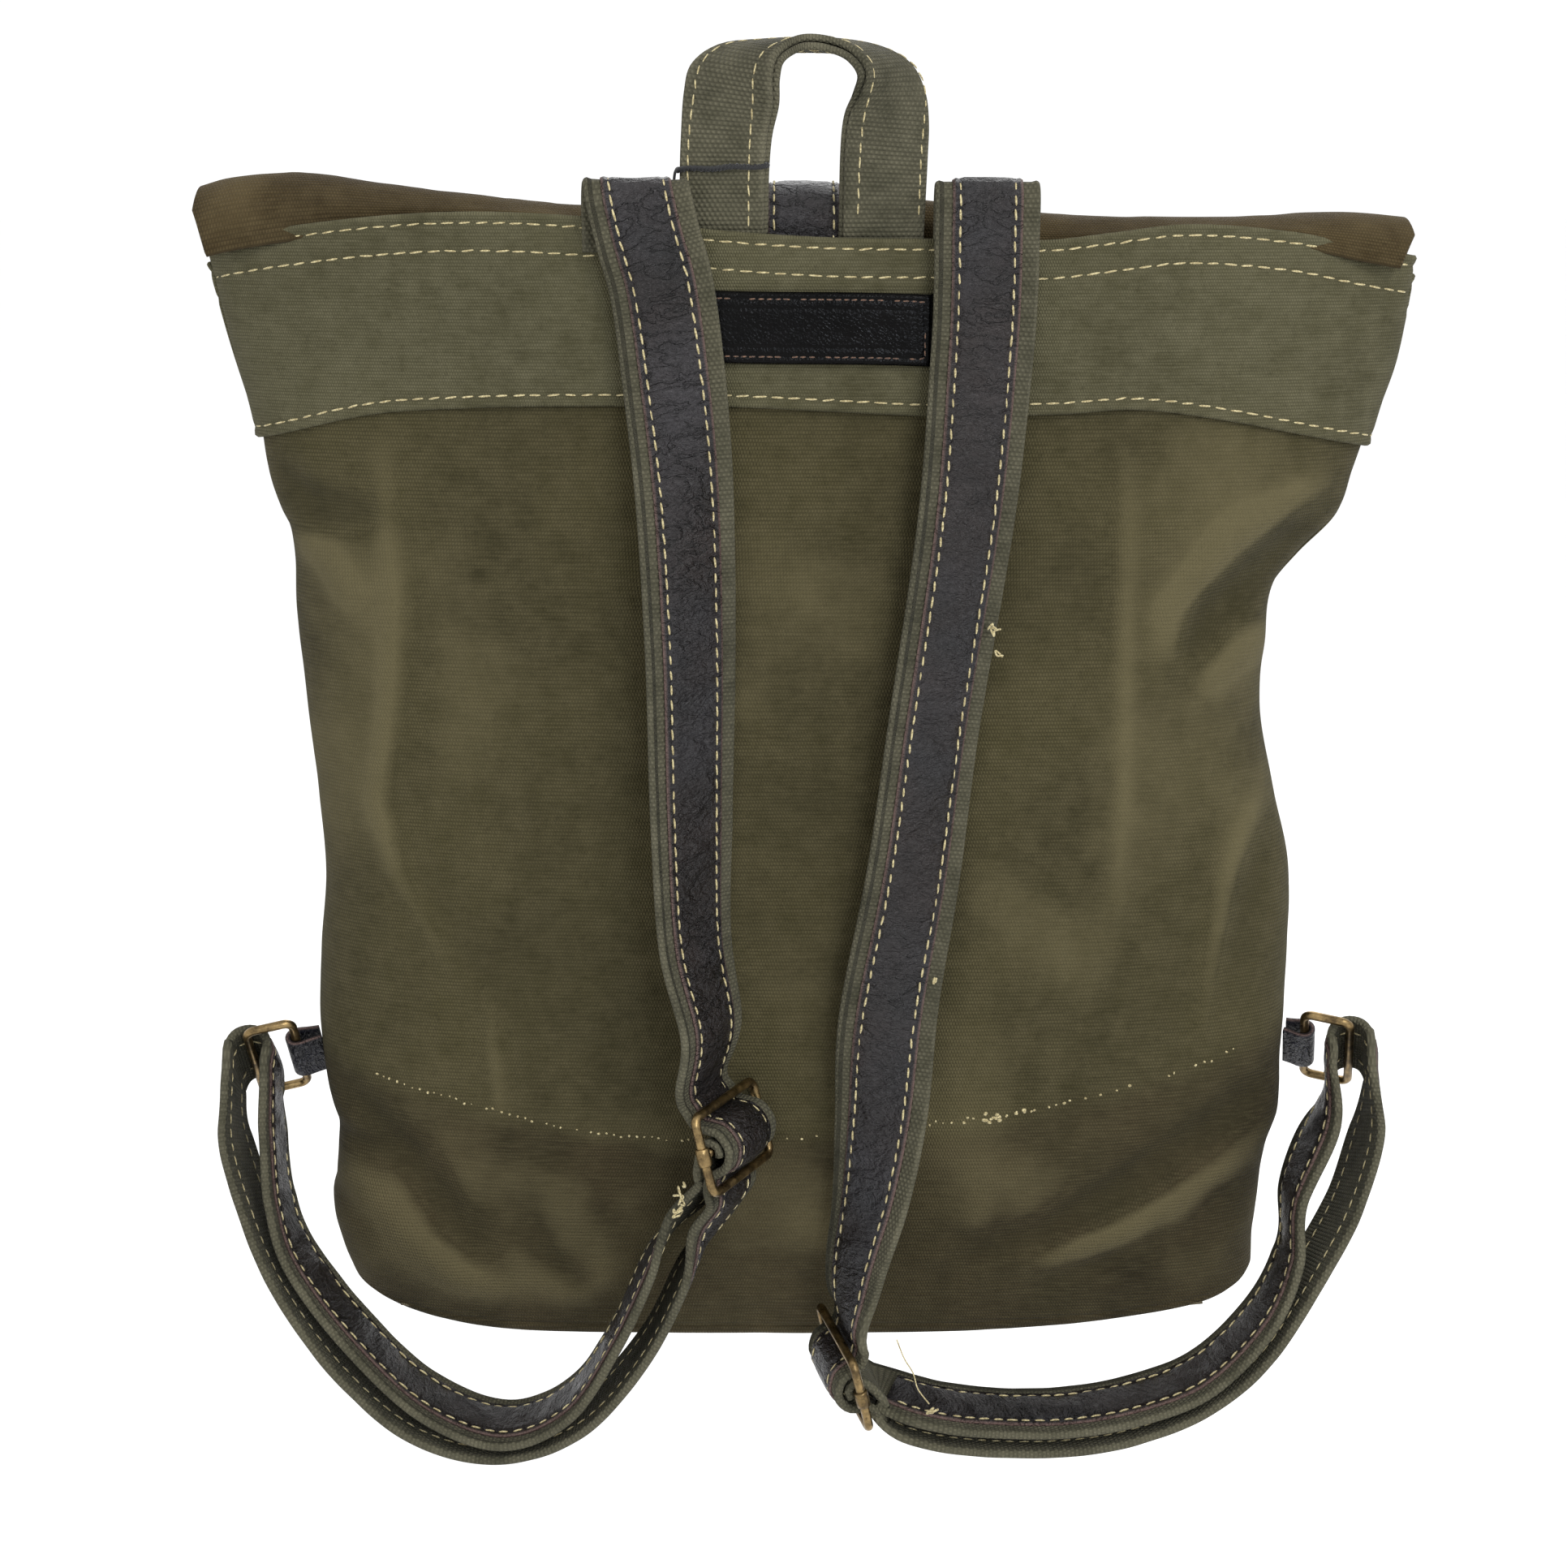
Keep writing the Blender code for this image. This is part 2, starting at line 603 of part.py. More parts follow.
def harness(side):
    """Everything one strap needs, worked out for its side (-1 left, 1 right)."""
    if side < 0:
        upper = ((-62, -2.9, 448, 1, 0, 0), (-62, -2.9, 455, 1, 0, 0),
                 (-61, -7.6, 460.2, 1, 0, 0), (-59.5, -12.4, 455, 1, 0, 0),
                 (-56, -11.8, 440, 1, 0, 0), (-52, -11.6, 425, 1, 0.02, 0),
                 (-48.5, -12.5, 400, 1, 0.05, 0),
                 (-44, -18.5, 352, 1, 0.35, 0), (-42, -23, 292, 1, 0.60, 0),
                 (-42, -25.5, 230, 1, 0.80, 0), (-41, -28, 180, 1, 1.1, 0),
                 (-35, -31, 146, 1, 1.5, 0))
        slide = {"at": Vector((-27.0, -34.0, 103.0)), "down": Vector((0.25, -0.13, -1.0)),
                 "wide": Vector((0.47, 0.88, -0.05))}
        outer = ((-36, 66, -32), (-46, 46, -32), (-63, 12, -32), (-88, -17, -31),
                 (-120, -28.5, -30), (-154, -21, -27), (-184, 3, -20), (-208, 34, -10),
                 (-222, 62, 2), (-230, 85, 13))
        inner = ((-214.5, 86, 13), (-211, 62, 2), (-202, 40, -7),
                 (-179, 13, -18), (-150, -12, -26), (-119, -22.5, -30), (-92, -10.5, -31),
                 (-73, 19, -32), (-59, 50, -32), (-46, 71, -31.5))
        leave = (23.0, -7.8)
        ring_at = Vector((-224.0, 30.0, 109.0))
        tab_at = Vector((-199.5, 44.0, 102.0))
    else:
        upper = ((66, -2.9, 448, 1, 0, 0), (66, -2.9, 455, 1, 0, 0),
                 (66, -7.6, 460.2, 1, 0, 0), (66, -12.4, 455, 1, 0, 0),
                 (66, -11.8, 440, 1, 0, 0), (66, -11.6, 425, 1, 0.02, 0),
                 (65, -12.5, 400, 1, 0.1, 0),
                 (60, -17, 340, 1, 0.3, 0.0), (49, -20, 262, 1, 0.4, 0.1),
                 (42, -22, 205, 1, 0.3, 0.1), (33, -24.5, 150, 1, 0.05, 0.1),
                 (30, -28, 108, 1, -0.45, 0), (26, -31.5, 76, 1, -0.95, 0),
                 (20.5, -34.5, 49, 1, -1.6, 0))
        slide = {"at": Vector((16.5, -37.0, 7.0)), "down": Vector((0.22, 0.16, -1.0)),
                 "wide": Vector((0.28, -0.93, -0.14))}
        outer = ((41, -16, -36), (68, -22, -35), (102, -23.5, -33), (131, -20, -30),
                 (160, -10, -25), (184, 8, -18), (204, 36, -9), (220, 62, 2),
                 (229.5, 88, 14))
        inner = ((211.0, 90, 14), (199, 64, 3), (196, 40, -6),
                 (184, 17, -14), (160, -3.5, -23), (131, -12.5, -29), (102, -16, -32),
                 (72, -14.5, -34), (48, -9.5, -36))
        leave = (19.5, -8.9)
        ring_at = Vector((224.0, 30.0, 113.0))
        tab_at = Vector((203.5, 44.0, 108.0))
    slide["down"].normalize()
    slide["wide"] -= slide["down"] * slide["wide"].dot(slide["down"])
    slide["wide"].normalize()
    slide["out"] = slide["down"].cross(slide["wide"])
    bar = Vector((0.15 if side > 0 else 0.0, 0.62, -0.78)).normalized()
    return {"upper": upper, "slide": slide, "outer": outer, "inner": inner,
            "ring": ring_at, "tab": tab_at, "bar": bar, "side": side, "leave": leave}


def strap_route(h):
    """Whole strap: rim, shoulder length, slide, lower loop, ring, and back."""
    side, slide = h["side"], h["slide"]
    wide = tuple(slide["wide"])
    route = list(h["upper"])
    for along, out in ((-23, -7.6), (-15.2, -6.3), (-10.4, -3.9), (-8.6, 0.6), (-6.4, 5.2),
                       (0, 7.9), (6.4, 5.2), (8.6, 0.6), (10.4, -3.9), (15.2, -6.3),
                       h["leave"]):
        route.append((*in_slide(slide, along, out), *wide))
    depth = (0.0, float(-side), 0.0) if side > 0 else (0.0, 1.0, 0.0)
    bar = tuple(h["bar"] * (-1.0 if side > 0 else 1.0))
    for k, (x, z, y) in enumerate(h["outer"]):
        route.append((x, y, z, *(wide if k == 0 else depth)))
    # round the ring's outer bar
    c = h["ring"]
    lead = Vector((1.0, 0.0, 0.0)) * side
    lead -= h["bar"] * lead.dot(h["bar"])
    up = Vector((0.0, 0.78, 0.62))
    for across, rise in ((7.6, -9.0), (7.8, -2.0), (5.4, 3.4), (0.0, 5.4),
                         (-5.4, 3.4), (-7.8, -2.0), (-7.6, -9.0)):
        p = c + lead * across + up * rise
        route.append((*p, *bar))
    for k, (x, z, y) in enumerate(h["inner"]):
        route.append((x, y, z, *(wide if k == len(h["inner"]) - 1 else depth)))
    for along, out in ((14.0, -11.0), (7.0, -8.4), (0.6, -5.2), (-3.0, -2.2),
                       (-3.4, 1.2), (-1.2, 3.5), (2.2, 3.2)):
        route.append((*in_slide(slide, along, out), *wide))
    return route


def build_harness(h, mats, label):
    side, slide = h["side"], h["slide"]
    pivot = (86.0 if side > 0 else -70.0, -9.0, 400.0)
    track = frames(strap_route(h), 13.0)
    first = next(k for k, f in enumerate(track) if f[0].z < STRAP_SPLIT)
    cut = track[first]
    top = track[:first + 1]
    rest = [(cut[0] + cut[1] * 0.8, *cut[1:])] + track[first + 1:]
    band, leather, brass = mats["band"], mats["leather"], mats["brass"]
    lift = STRAP_THICK / 2 + LEATHER_THICK / 2 + 1.0
    crest = next(k for k, f in enumerate(top) if f[3].z > 0.75)
    bare, k = 0.0, len(rest) - 1        # the end sewn round the slide's bar has no leather
    while bare < 36.0:
        bare += (rest[k][0] - rest[k - 1][0]).length
        k -= 1
    faced = rest[:k]
    make("strap_top_" + label, ribbon(top, STRAP_WIDTH, STRAP_THICK), band)
    make("strap_top_leather_" + label, ribbon(top[crest:], LEATHER_WIDTH, LEATHER_THICK, lift),
         leather)
    make("strap_canvas_" + label, ribbon(rest, STRAP_WIDTH, STRAP_THICK), band, pivot=pivot)
    make("strap_leather_" + label, ribbon(faced, LEATHER_WIDTH, LEATHER_THICK, lift),
         leather, pivot=pivot)
    loop = [in_slide(slide, v, 0.0) + slide["wide"] * u for u, v in
            rounded_loop(SLIDE_WIDTH / 2 - WIRE / 2, SLIDE_HEIGHT / 2 - WIRE / 2, 3.5, 3)]
    make("slide_frame_" + label, wire(loop, WIRE / 2, True), brass, pivot=pivot)
    reach = SLIDE_WIDTH / 2 - WIRE - GAP
    ends = [slide["at"] - slide["wide"] * reach, slide["at"] + slide["wide"] * reach]
    make("slide_bar_" + label, wire(ends, WIRE / 2 - 0.2, False), brass, pivot=pivot)

    # ring: outer bar through the strap, inner bar through the folded tab
    bar, c = h["bar"], h["ring"]
    root = h["tab"]
    inward = (root - c)
    inward -= bar * inward.dot(bar)
    inward.normalize()
    mid = c + inward * (RING_DEPTH / 2 - WIRE / 2)
    loop = [mid + inward * u + bar * v for u, v in
            rounded_loop(RING_DEPTH / 2 - WIRE / 2, RING_BAR / 2 - WIRE / 2, 3.5, 3)]
    make("side_ring_" + label, wire(loop, WIRE / 2, True), brass, pivot=pivot)
    hold = c + inward * (RING_DEPTH - WIRE)
    face = bar.cross(inward).normalized()
    turn = []
    for ang in range(-90, 91, 30):
        t = math.radians(ang)
        turn.append(hold + (-inward * math.cos(t) + face * math.sin(t)) * 3.4)
    reach = (root - hold).dot(inward)
    route = [turn[0] + inward * reach] + turn + [turn[-1] + inward * reach]
    route = [(*p, *bar) for p in route]
    track = []
    for k, p in enumerate(route):
        a, b = Vector(route[max(k - 1, 0)][:3]), Vector(route[min(k + 1, len(route) - 1)][:3])
        along = (b - a).normalized()
        track.append((Vector(p[:3]), along, bar, along.cross(bar)))
    make("side_tab_" + label, ribbon(track, TAB_WIDTH, 1.8), mats["tab"], pivot=pivot)


def build_label(mats):
    layers = []
    for proud in (5.0, 3.6):
        layers.append([[Vector((x, back_y(x, z - 0.03 * x, proud), z - 0.03 * x))
                        for x in (-47.0, -23.0, 0.0, 23.0, 47.0)] for z in (396.0, 422.0)])
    make("label_patch", sheet(layers), mats["patch"])


def main():
    clear_scene()
    mats = {
        "canvas": material("canvas_brown", (0.085, 0.077, 0.044), 0.92),
        "band": material("canvas_green", (0.118, 0.122, 0.083), 0.92),
        "lining": material("lining_cotton", (0.16, 0.14, 0.10), 0.9),
        "leather": material("leather_brown", (0.032, 0.024, 0.022), 0.5),
        "tab": material("leather_black", (0.015, 0.015, 0.02), 0.45),
        "patch": material("patch_leather", (0.012, 0.010, 0.009), 0.3),
        "brass": material("antique_brass", (0.22, 0.17, 0.10), 0.4, 1.0),
        "tape": material("zip_tape", (0.03, 0.03, 0.025), 0.9),
        "cord": material("tag_cord", (0.01, 0.01, 0.01), 0.8),
    }
    build_body(mats)
    build_label(mats)
    build_handle(mats)
    build_flap(mats)
    build_zip(mats)
    build_harness(harness(-1), mats, "left")
    build_harness(harness(1), mats, "right")


main()
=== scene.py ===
"""School backpack in waxed canvas and leather, hung by its haul handle: the looks.

Lengths here are millimetres above the base's underside, as in the CAD source, and
become metres in the frame when a mesh is made. -Y is the harness side.
"""

import json
import math

import bmesh
import bpy
import numpy as np
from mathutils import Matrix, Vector


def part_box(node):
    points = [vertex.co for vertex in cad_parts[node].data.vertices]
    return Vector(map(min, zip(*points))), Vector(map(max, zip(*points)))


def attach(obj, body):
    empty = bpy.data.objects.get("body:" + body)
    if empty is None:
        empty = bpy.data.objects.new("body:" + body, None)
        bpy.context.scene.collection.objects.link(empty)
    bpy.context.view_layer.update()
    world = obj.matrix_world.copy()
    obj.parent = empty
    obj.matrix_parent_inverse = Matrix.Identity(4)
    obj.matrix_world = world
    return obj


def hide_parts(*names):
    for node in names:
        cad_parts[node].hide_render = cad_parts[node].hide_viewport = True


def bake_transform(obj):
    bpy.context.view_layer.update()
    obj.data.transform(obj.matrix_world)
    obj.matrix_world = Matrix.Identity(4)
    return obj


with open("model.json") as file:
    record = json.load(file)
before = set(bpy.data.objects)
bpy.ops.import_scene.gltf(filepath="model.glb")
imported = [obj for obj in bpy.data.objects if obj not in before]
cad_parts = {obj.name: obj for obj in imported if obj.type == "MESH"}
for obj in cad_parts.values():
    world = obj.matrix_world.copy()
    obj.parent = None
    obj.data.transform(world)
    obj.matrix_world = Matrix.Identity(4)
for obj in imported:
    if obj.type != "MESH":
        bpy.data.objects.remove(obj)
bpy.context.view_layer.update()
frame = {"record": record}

MM = 0.001
mounts = {m["name"]: m["pos_m"] for m in frame["record"]["mounts"]}
BASE_MIDDLE_Y = 43.5
EYE, EYE_PITCH_DEG, LENS, SENSOR = (-7.5, -950.0, 484.0), 14.7, 58.46, 36.0
FLOOR_Z, FLOOR_SIZE = -0.80, 60.0
LAMP_AIM, SKY_STRENGTH = (0, 0, -0.28), 1.08
# name, place, side, watts and colour of each soft light, in metres
LAMPS = (("key", (0.75, -1.3, 1.15), 0.6, 16.0, (1.0, 0.98, 0.94)),
         ("window", (0.40, -1.5, 0.30), 0.30, 6.5, (0.84, 0.90, 1.0)),
         ("back_fill", (0.3, 1.6, 0.8), 1.2, 12.0, (1.0, 1.0, 1.0)))
ORIGIN = np.array((0.0, mounts["base_rest"][1] - BASE_MIDDLE_Y * MM, mounts["base_rest"][2]))
rng = np.random.default_rng(11)


# ---- camera, floor and light ------------------------------------------------
def world_point(p):
    return Vector(ORIGIN + np.asarray(p, float) * MM)


def studio():
    cam = bpy.data.cameras.new("camera")
    cam.lens, cam.sensor_width, cam.sensor_fit = LENS, SENSOR, "HORIZONTAL"
    cam.clip_start, cam.clip_end = 0.05, 20.0
    eye = bpy.data.objects.new("camera", cam)
    eye.location = world_point(EYE)
    eye.rotation_euler = (math.radians(90 - EYE_PITCH_DEG), 0.0, 0.0)
    bpy.context.collection.objects.link(eye)
    bpy.context.scene.camera = eye

    floor_mat = bpy.data.materials.new("pale_floor")
    floor_mat.use_nodes = True
    bsdf = floor_mat.node_tree.nodes["Principled BSDF"]
    bsdf.inputs["Base Color"].default_value = (0.93, 0.93, 0.93, 1)
    bsdf.inputs["Roughness"].default_value = 0.9
    bpy.ops.mesh.primitive_plane_add(size=FLOOR_SIZE, location=(0, 0, FLOOR_Z))
    floor = bpy.context.object
    floor.name = "floor"
    floor.data.materials.append(floor_mat)

    world = bpy.data.worlds.new("sky")
    world.use_nodes = True
    sky = world.node_tree.nodes["Background"]
    sky.inputs["Color"].default_value = (1.0, 1.0, 1.0, 1)
    sky.inputs["Strength"].default_value = SKY_STRENGTH
    bpy.context.scene.world = world

    for name, place, size, power, colour in LAMPS:
        data = bpy.data.lights.new(name, "AREA")
        data.shape, data.size, data.energy, data.color = "SQUARE", size, power, colour
        lamp = bpy.data.objects.new(name, data)
        lamp.location = Vector(place)
        aim = Vector(LAMP_AIM) - lamp.location
        lamp.rotation_euler = aim.to_track_quat("-Z", "Y").to_euler()
        bpy.context.collection.objects.link(lamp)
    bpy.context.scene.view_settings.view_transform = "Standard"
    bpy.context.scene.view_settings.look = "None"


# ---- small maths --------------------------------------------------------------
def curve_at(table, x):
    """Smooth curve through (x, y) rows, at each x."""
    xs, ys = np.asarray(table, float).T
    slope = np.empty_like(ys)
    slope[1:-1] = (ys[2:] - ys[:-2]) / (xs[2:] - xs[:-2])
    slope[0], slope[-1] = (ys[1] - ys[0]) / (xs[1] - xs[0]), (ys[-1] - ys[-2]) / (xs[-1] - xs[-2])
    x = np.clip(x, xs[0], xs[-1])
    i = np.clip(np.searchsorted(xs, x) - 1, 0, len(xs) - 2)
    h = xs[i + 1] - xs[i]
    f = (x - xs[i]) / h
    return ((2 * f ** 3 - 3 * f ** 2 + 1) * ys[i] + (f ** 3 - 2 * f ** 2 + f) * h * slope[i]
            + (3 * f ** 2 - 2 * f ** 3) * ys[i + 1] + (f ** 3 - f ** 2) * h * slope[i + 1])


def smoothstep(lo, hi, x):
    t = np.clip((x - lo) / (hi - lo), 0, 1)
    return t * t * (3 - 2 * t)


def lattice(ix, iy, seed):
    h = (ix * 374761393 + iy * 668265263 + seed * 974634777) & 0xFFFFFFFF
    h = ((h ^ (h >> 13)) * 1274126177) & 0xFFFFFFFF
    return ((h ^ (h >> 16)) & 0xFFFF) / 32767.5 - 1.0


def ripple(x, y, size, seed):
    """Smooth value noise, -1 to 1, with lumps about `size` across."""
    fx, fy = np.asarray(x) / size, np.asarray(y) / size
    ix, iy = np.floor(fx).astype(np.int64), np.floor(fy).astype(np.int64)
    u, v = fx - ix, fy - iy
    u, v = u * u * (3 - 2 * u), v * v * (3 - 2 * v)
    return ((lattice(ix, iy, seed) * (1 - u) + lattice(ix + 1, iy, seed) * u) * (1 - v)
            + (lattice(ix, iy + 1, seed) * (1 - u) + lattice(ix + 1, iy + 1, seed) * u) * v)


def crease(x, z, path, width, height):
    """Long soft ridge (or valley, if height is negative) that fades at both ends."""
    best = np.full(np.shape(x), 1e9)
    where = np.zeros(np.shape(x))
    count = len(path) - 1
    for k, ((x0, z0), (x1, z1)) in enumerate(zip(path, path[1:])):
        dx, dz = x1 - x0, z1 - z0
        t = np.clip(((x - x0) * dx + (z - z0) * dz) / (dx * dx + dz * dz), 0, 1)
        d = np.hypot(x - x0 - t * dx, z - z0 - t * dz)
        closer = d < best
        best = np.where(closer, d, best)
        where = np.where(closer, (k + t) / count, where)
    fade = np.clip(np.sin(np.pi * np.clip(where, 0.02, 0.98)), 0, 1) ** 0.6
    return height * fade * np.exp(-(best / width) ** 2)


def unit(v):
    return v / np.maximum(np.linalg.norm(v, axis=-1, keepdims=True), 1e-12)


def grid_normals(grid):
    return unit(np.cross(np.gradient(grid, axis=1), np.gradient(grid, axis=0)))


def lengths_along(points):
    step = np.linalg.norm(np.diff(points, axis=0), axis=-1)
    return np.concatenate([[0.0], np.cumsum(step)])


# ---- mesh makers ----------------------------------------------------------------
def make(name, points, faces, mat, cloth=None, raw=None):
    """Object from points in millimetres. `cloth` is the fabric's (along, across, shading and wear)
    at each point, in millimetres, and `raw` marks cut edges. The third value is painted
    highlight and painted shade where it follows fold height, and wear on strap edges."""
    mesh = bpy.data.meshes.new(name)
    mesh.from_pydata((ORIGIN + np.asarray(points, float) * MM).tolist(), [],
                     [tuple(f) for f in faces])
    mesh.update()
    bm = bmesh.new()
    bm.from_mesh(mesh)
    bmesh.ops.recalc_face_normals(bm, faces=bm.faces)
    bm.to_mesh(mesh)
    bm.free()
    if cloth is not None:
        layer = mesh.attributes.new("cloth", "FLOAT_VECTOR", "POINT")
        layer.data.foreach_set("vector", np.asarray(cloth, np.float32).ravel())
    if raw is not None:
        layer = mesh.attributes.new("raw", "FLOAT", "POINT")
        layer.data.foreach_set("value", np.asarray(raw, np.float32).ravel())
    mesh.shade_smooth()
    obj = bpy.data.objects.new(name, mesh)
    bpy.context.collection.objects.link(obj)
    obj.data.materials.append(mat)
    return obj


def quads(index):
    a, b, c, d = index[:-1, :-1], index[:-1, 1:], index[1:, 1:], index[1:, :-1]
    return np.stack([a, b, c, d], axis=-1).reshape(-1, 4)


def wrapped(rows, cols, rows_too=False):
    """Point numbers of a grid whose last column joins the first, and so may its last row."""
    index = np.arange(rows * cols).reshape(rows, cols)
    index = np.concatenate([index, index[:, :1]], axis=1)
    return np.concatenate([index, index[:1]], axis=0) if rows_too else index


def capped(rows, cols):
    """Faces of a tube of points, with a face over each end."""
    index = wrapped(rows, cols)
    return quads(index).tolist() + [index[0, :-1].tolist(), index[-1, :-1].tolist()]


def border(grid):
    """A grid's values in order round its rim."""
    return np.concatenate([grid[0], grid[1:, -1], grid[-1, -2::-1], grid[-2:0:-1, 0]])


def toward(grid, axis, sign):
    """1 or -1: what turns the grid's normals to that side of an axis at its middle."""
    rows, cols = grid.shape[:2]
    return sign if grid_normals(grid)[rows // 2, cols // 2, axis] > 0 else -sign


def settle(obj, on, slot=None, *nodes):
    """Give a piece its body, or else bake its place into its points, and hide what it replaces; the
    slot is not used.
    """
    if isinstance(on, str):
        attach(obj, on)
    else:
        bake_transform(obj)
    if nodes:
        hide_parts(*nodes)
    return obj


def shell(name, grid, thick, mat, cloth, outward=1.0):
    """Cloth of a real thickness whose outer face is the grid; its rims are rounded."""
    normal = grid_normals(grid) * outward
    rows, cols = grid.shape[:2]
    inner = grid - normal * thick
    middle = (grid + inner) / 2
    rim = border(middle)
    out_i = np.arange(rows * cols).reshape(rows, cols)
    in_i = out_i + rows * cols
    edge_out, edge_in = border(out_i), border(in_i)
    ring = np.roll(rim, -1, axis=0) - np.roll(rim, 1, axis=0)
    side = unit(np.cross(ring, border(normal)))
    centre = middle.reshape(-1, 3).mean(axis=0)
    sign = np.sign(((rim - centre) * side).sum(axis=1)).mean()
    rim = rim + side * (thick * 0.42) * (1 if sign >= 0 else -1)
    rim_i = 2 * rows * cols + np.arange(len(rim))
    faces = [quads(out_i), quads(in_i)]
    for a, b in ((edge_out, rim_i), (rim_i, edge_in)):
        faces.append(np.stack([a, np.roll(a, -1), np.roll(b, -1), b], axis=-1))
    flat = cloth.reshape(-1, 3)
    pts = np.concatenate([grid.reshape(-1, 3), inner.reshape(-1, 3), rim])
    return make(name, pts, np.concatenate(faces), mat, np.concatenate([flat, flat, flat[edge_out]]))


def panel(name, grid, thick, mat, cloth, axis, sign, slot, *nodes):
    """Shell on the bag, facing `sign` along an axis. Returns its outward normals."""
    outward = toward(grid, axis, sign)
    settle(shell(name, grid, thick, mat, cloth, outward), "bag", slot, *nodes)
    return grid_normals(grid) * outward


def tube(name, points, radius, mat, closed=False, sides=14, rounded=True):
    """Round wire or cord along the points; radius is one value or one for each point."""
    points = np.asarray(points, float)
    n = len(points)
    radius = np.broadcast_to(np.asarray(radius, float), (n,))
    ahead = np.roll(points, -1, axis=0) if closed else np.vstack([points[1:], points[-1:]])
    behind = np.roll(points, 1, axis=0) if closed else np.vstack([points[:1], points[:-1]])
    along = unit(ahead - behind)
    normal = unit(np.cross(along[0], (0.31, 0.74, 0.6)))
    rings = []
    turn = np.arange(sides) * 2 * math.pi / sides
    for p, a, r in zip(points, along, radius):
        normal = unit(normal - a * normal.dot(a))
        side = np.cross(a, normal)
        rings.append(p + (normal * np.cos(turn)[:, None] + side * np.sin(turn)[:, None]) * r)
    pts = np.concatenate(rings)
    faces = quads(wrapped(n, sides, closed)).tolist()
    run = np.repeat(lengths_along(points), sides)
    cloth = np.stack([run, np.tile(turn * radius.mean(), n), np.zeros(n * sides)], axis=-1)
    if not closed:
        tips = np.stack([points[0] - along[0] * radius[0] * (0.5 if rounded else 0),
                         points[-1] + along[-1] * radius[-1] * (0.5 if rounded else 0)])
        pts = np.concatenate([pts, tips])
        cloth = np.concatenate([cloth, cloth[[0, -1]]])
        last = n * sides
        for j in range(sides):
            k = (j + 1) % sides
            faces.append((j, k, last))
            faces.append((last - sides + k, last - sides + j, last + 1))
    return make(name, pts, faces, mat, cloth)


def swept(name, track, section, mat, wave=None, shading_and_wear=None, raw_from=None, stretch=None):
    """Strap: a closed section of (across, out) pairs carried along a track.

    wave(run, across) moves the face side; shading_and_wear(run, across) goes to the material,
    where it lightens or darkens the colour.
    """
    place, along, wide, face = track
    section = np.asarray(section, float)
    run = lengths_along(place)
    n, k = len(place), len(section)
    across = np.broadcast_to(section[:, 0], (n, k)).copy()
    if stretch is not None:
        across *= stretch[:, None]
    out = np.broadcast_to(section[:, 1], (n, k)).copy()
    s = np.broadcast_to(run[:, None], (n, k))
    if wave is not None:
        out += wave(s, across) * (section[:, 1] > section[:, 1].mean())
    pts = place[:, None] + wide[:, None] * across[..., None] + face[:, None] * out[..., None]
    around = lengths_along(np.concatenate([section, section[:1]]))[:-1]
    shading_and_wear_values = shading_and_wear(s, across) if shading_and_wear is not None else np.zeros((n, k))
    cloth = np.stack([s, np.broadcast_to(around, (n, k)), shading_and_wear_values], axis=-1).reshape(-1, 3)
    raw = None
    if raw_from is not None:
        edge = np.abs(section[:, 0]) > raw_from
        raw = np.broadcast_to(edge, (n, k)).astype(float).ravel()
    return make(name, pts.reshape(-1, 3), capped(n, k), mat, cloth, raw)


def spun(profile, sides):
    """Points (along, u, v) and faces of a round shape, from its (along, radius) pairs."""
    pts, faces, rings = [], [], []
    for along, r in profile:
        if r == 0.0:
            rings.append([len(pts)])
            pts.append((along, 0.0, 0.0))
            continue
        rings.append(list(range(len(pts), len(pts) + sides)))
        for j in range(sides):
            a = 2 * math.pi * j / sides
            pts.append((along, r * math.cos(a), r * math.sin(a)))
    for lo, hi in zip(rings, rings[1:]):
        for j in range(sides):
            k = (j + 1) % sides
            if len(lo) == 1:
                faces.append((lo[0], hi[j], hi[k]))
            elif len(hi) == 1:
                faces.append((lo[k], lo[j], hi[0]))
            else:
                faces.append((lo[j], lo[k], hi[k], hi[j]))
    return np.array(pts), faces


STITCH_PROFILE = ((-1.0, 0.0), (-0.82, 0.7), (-0.35, 1.0), (0.35, 1.0), (0.82, 0.7), (1.0, 0.0))
STITCH_SIDES = 6


# pitch, stitch length and thread radius of each kind of seam
BAND_GAUGE, HEM_GAUGE, HANDLE_GAUGE = (6.4, 4.9, 0.36), (6.4, 5.2, 0.44), (5.4, 4.1, 0.30)
CLOSURE_GAUGE, BILLET_GAUGE, LABEL_GAUGE = (5.6, 4.2, 0.36), (5.6, 4.2, 0.34), (3.1, 2.3, 0.26)
STRAP_FACE_GAUGE, STRAP_BACK_GAUGE = (5.6, 4.3, 0.40), (5.6, 4.1, 0.34)


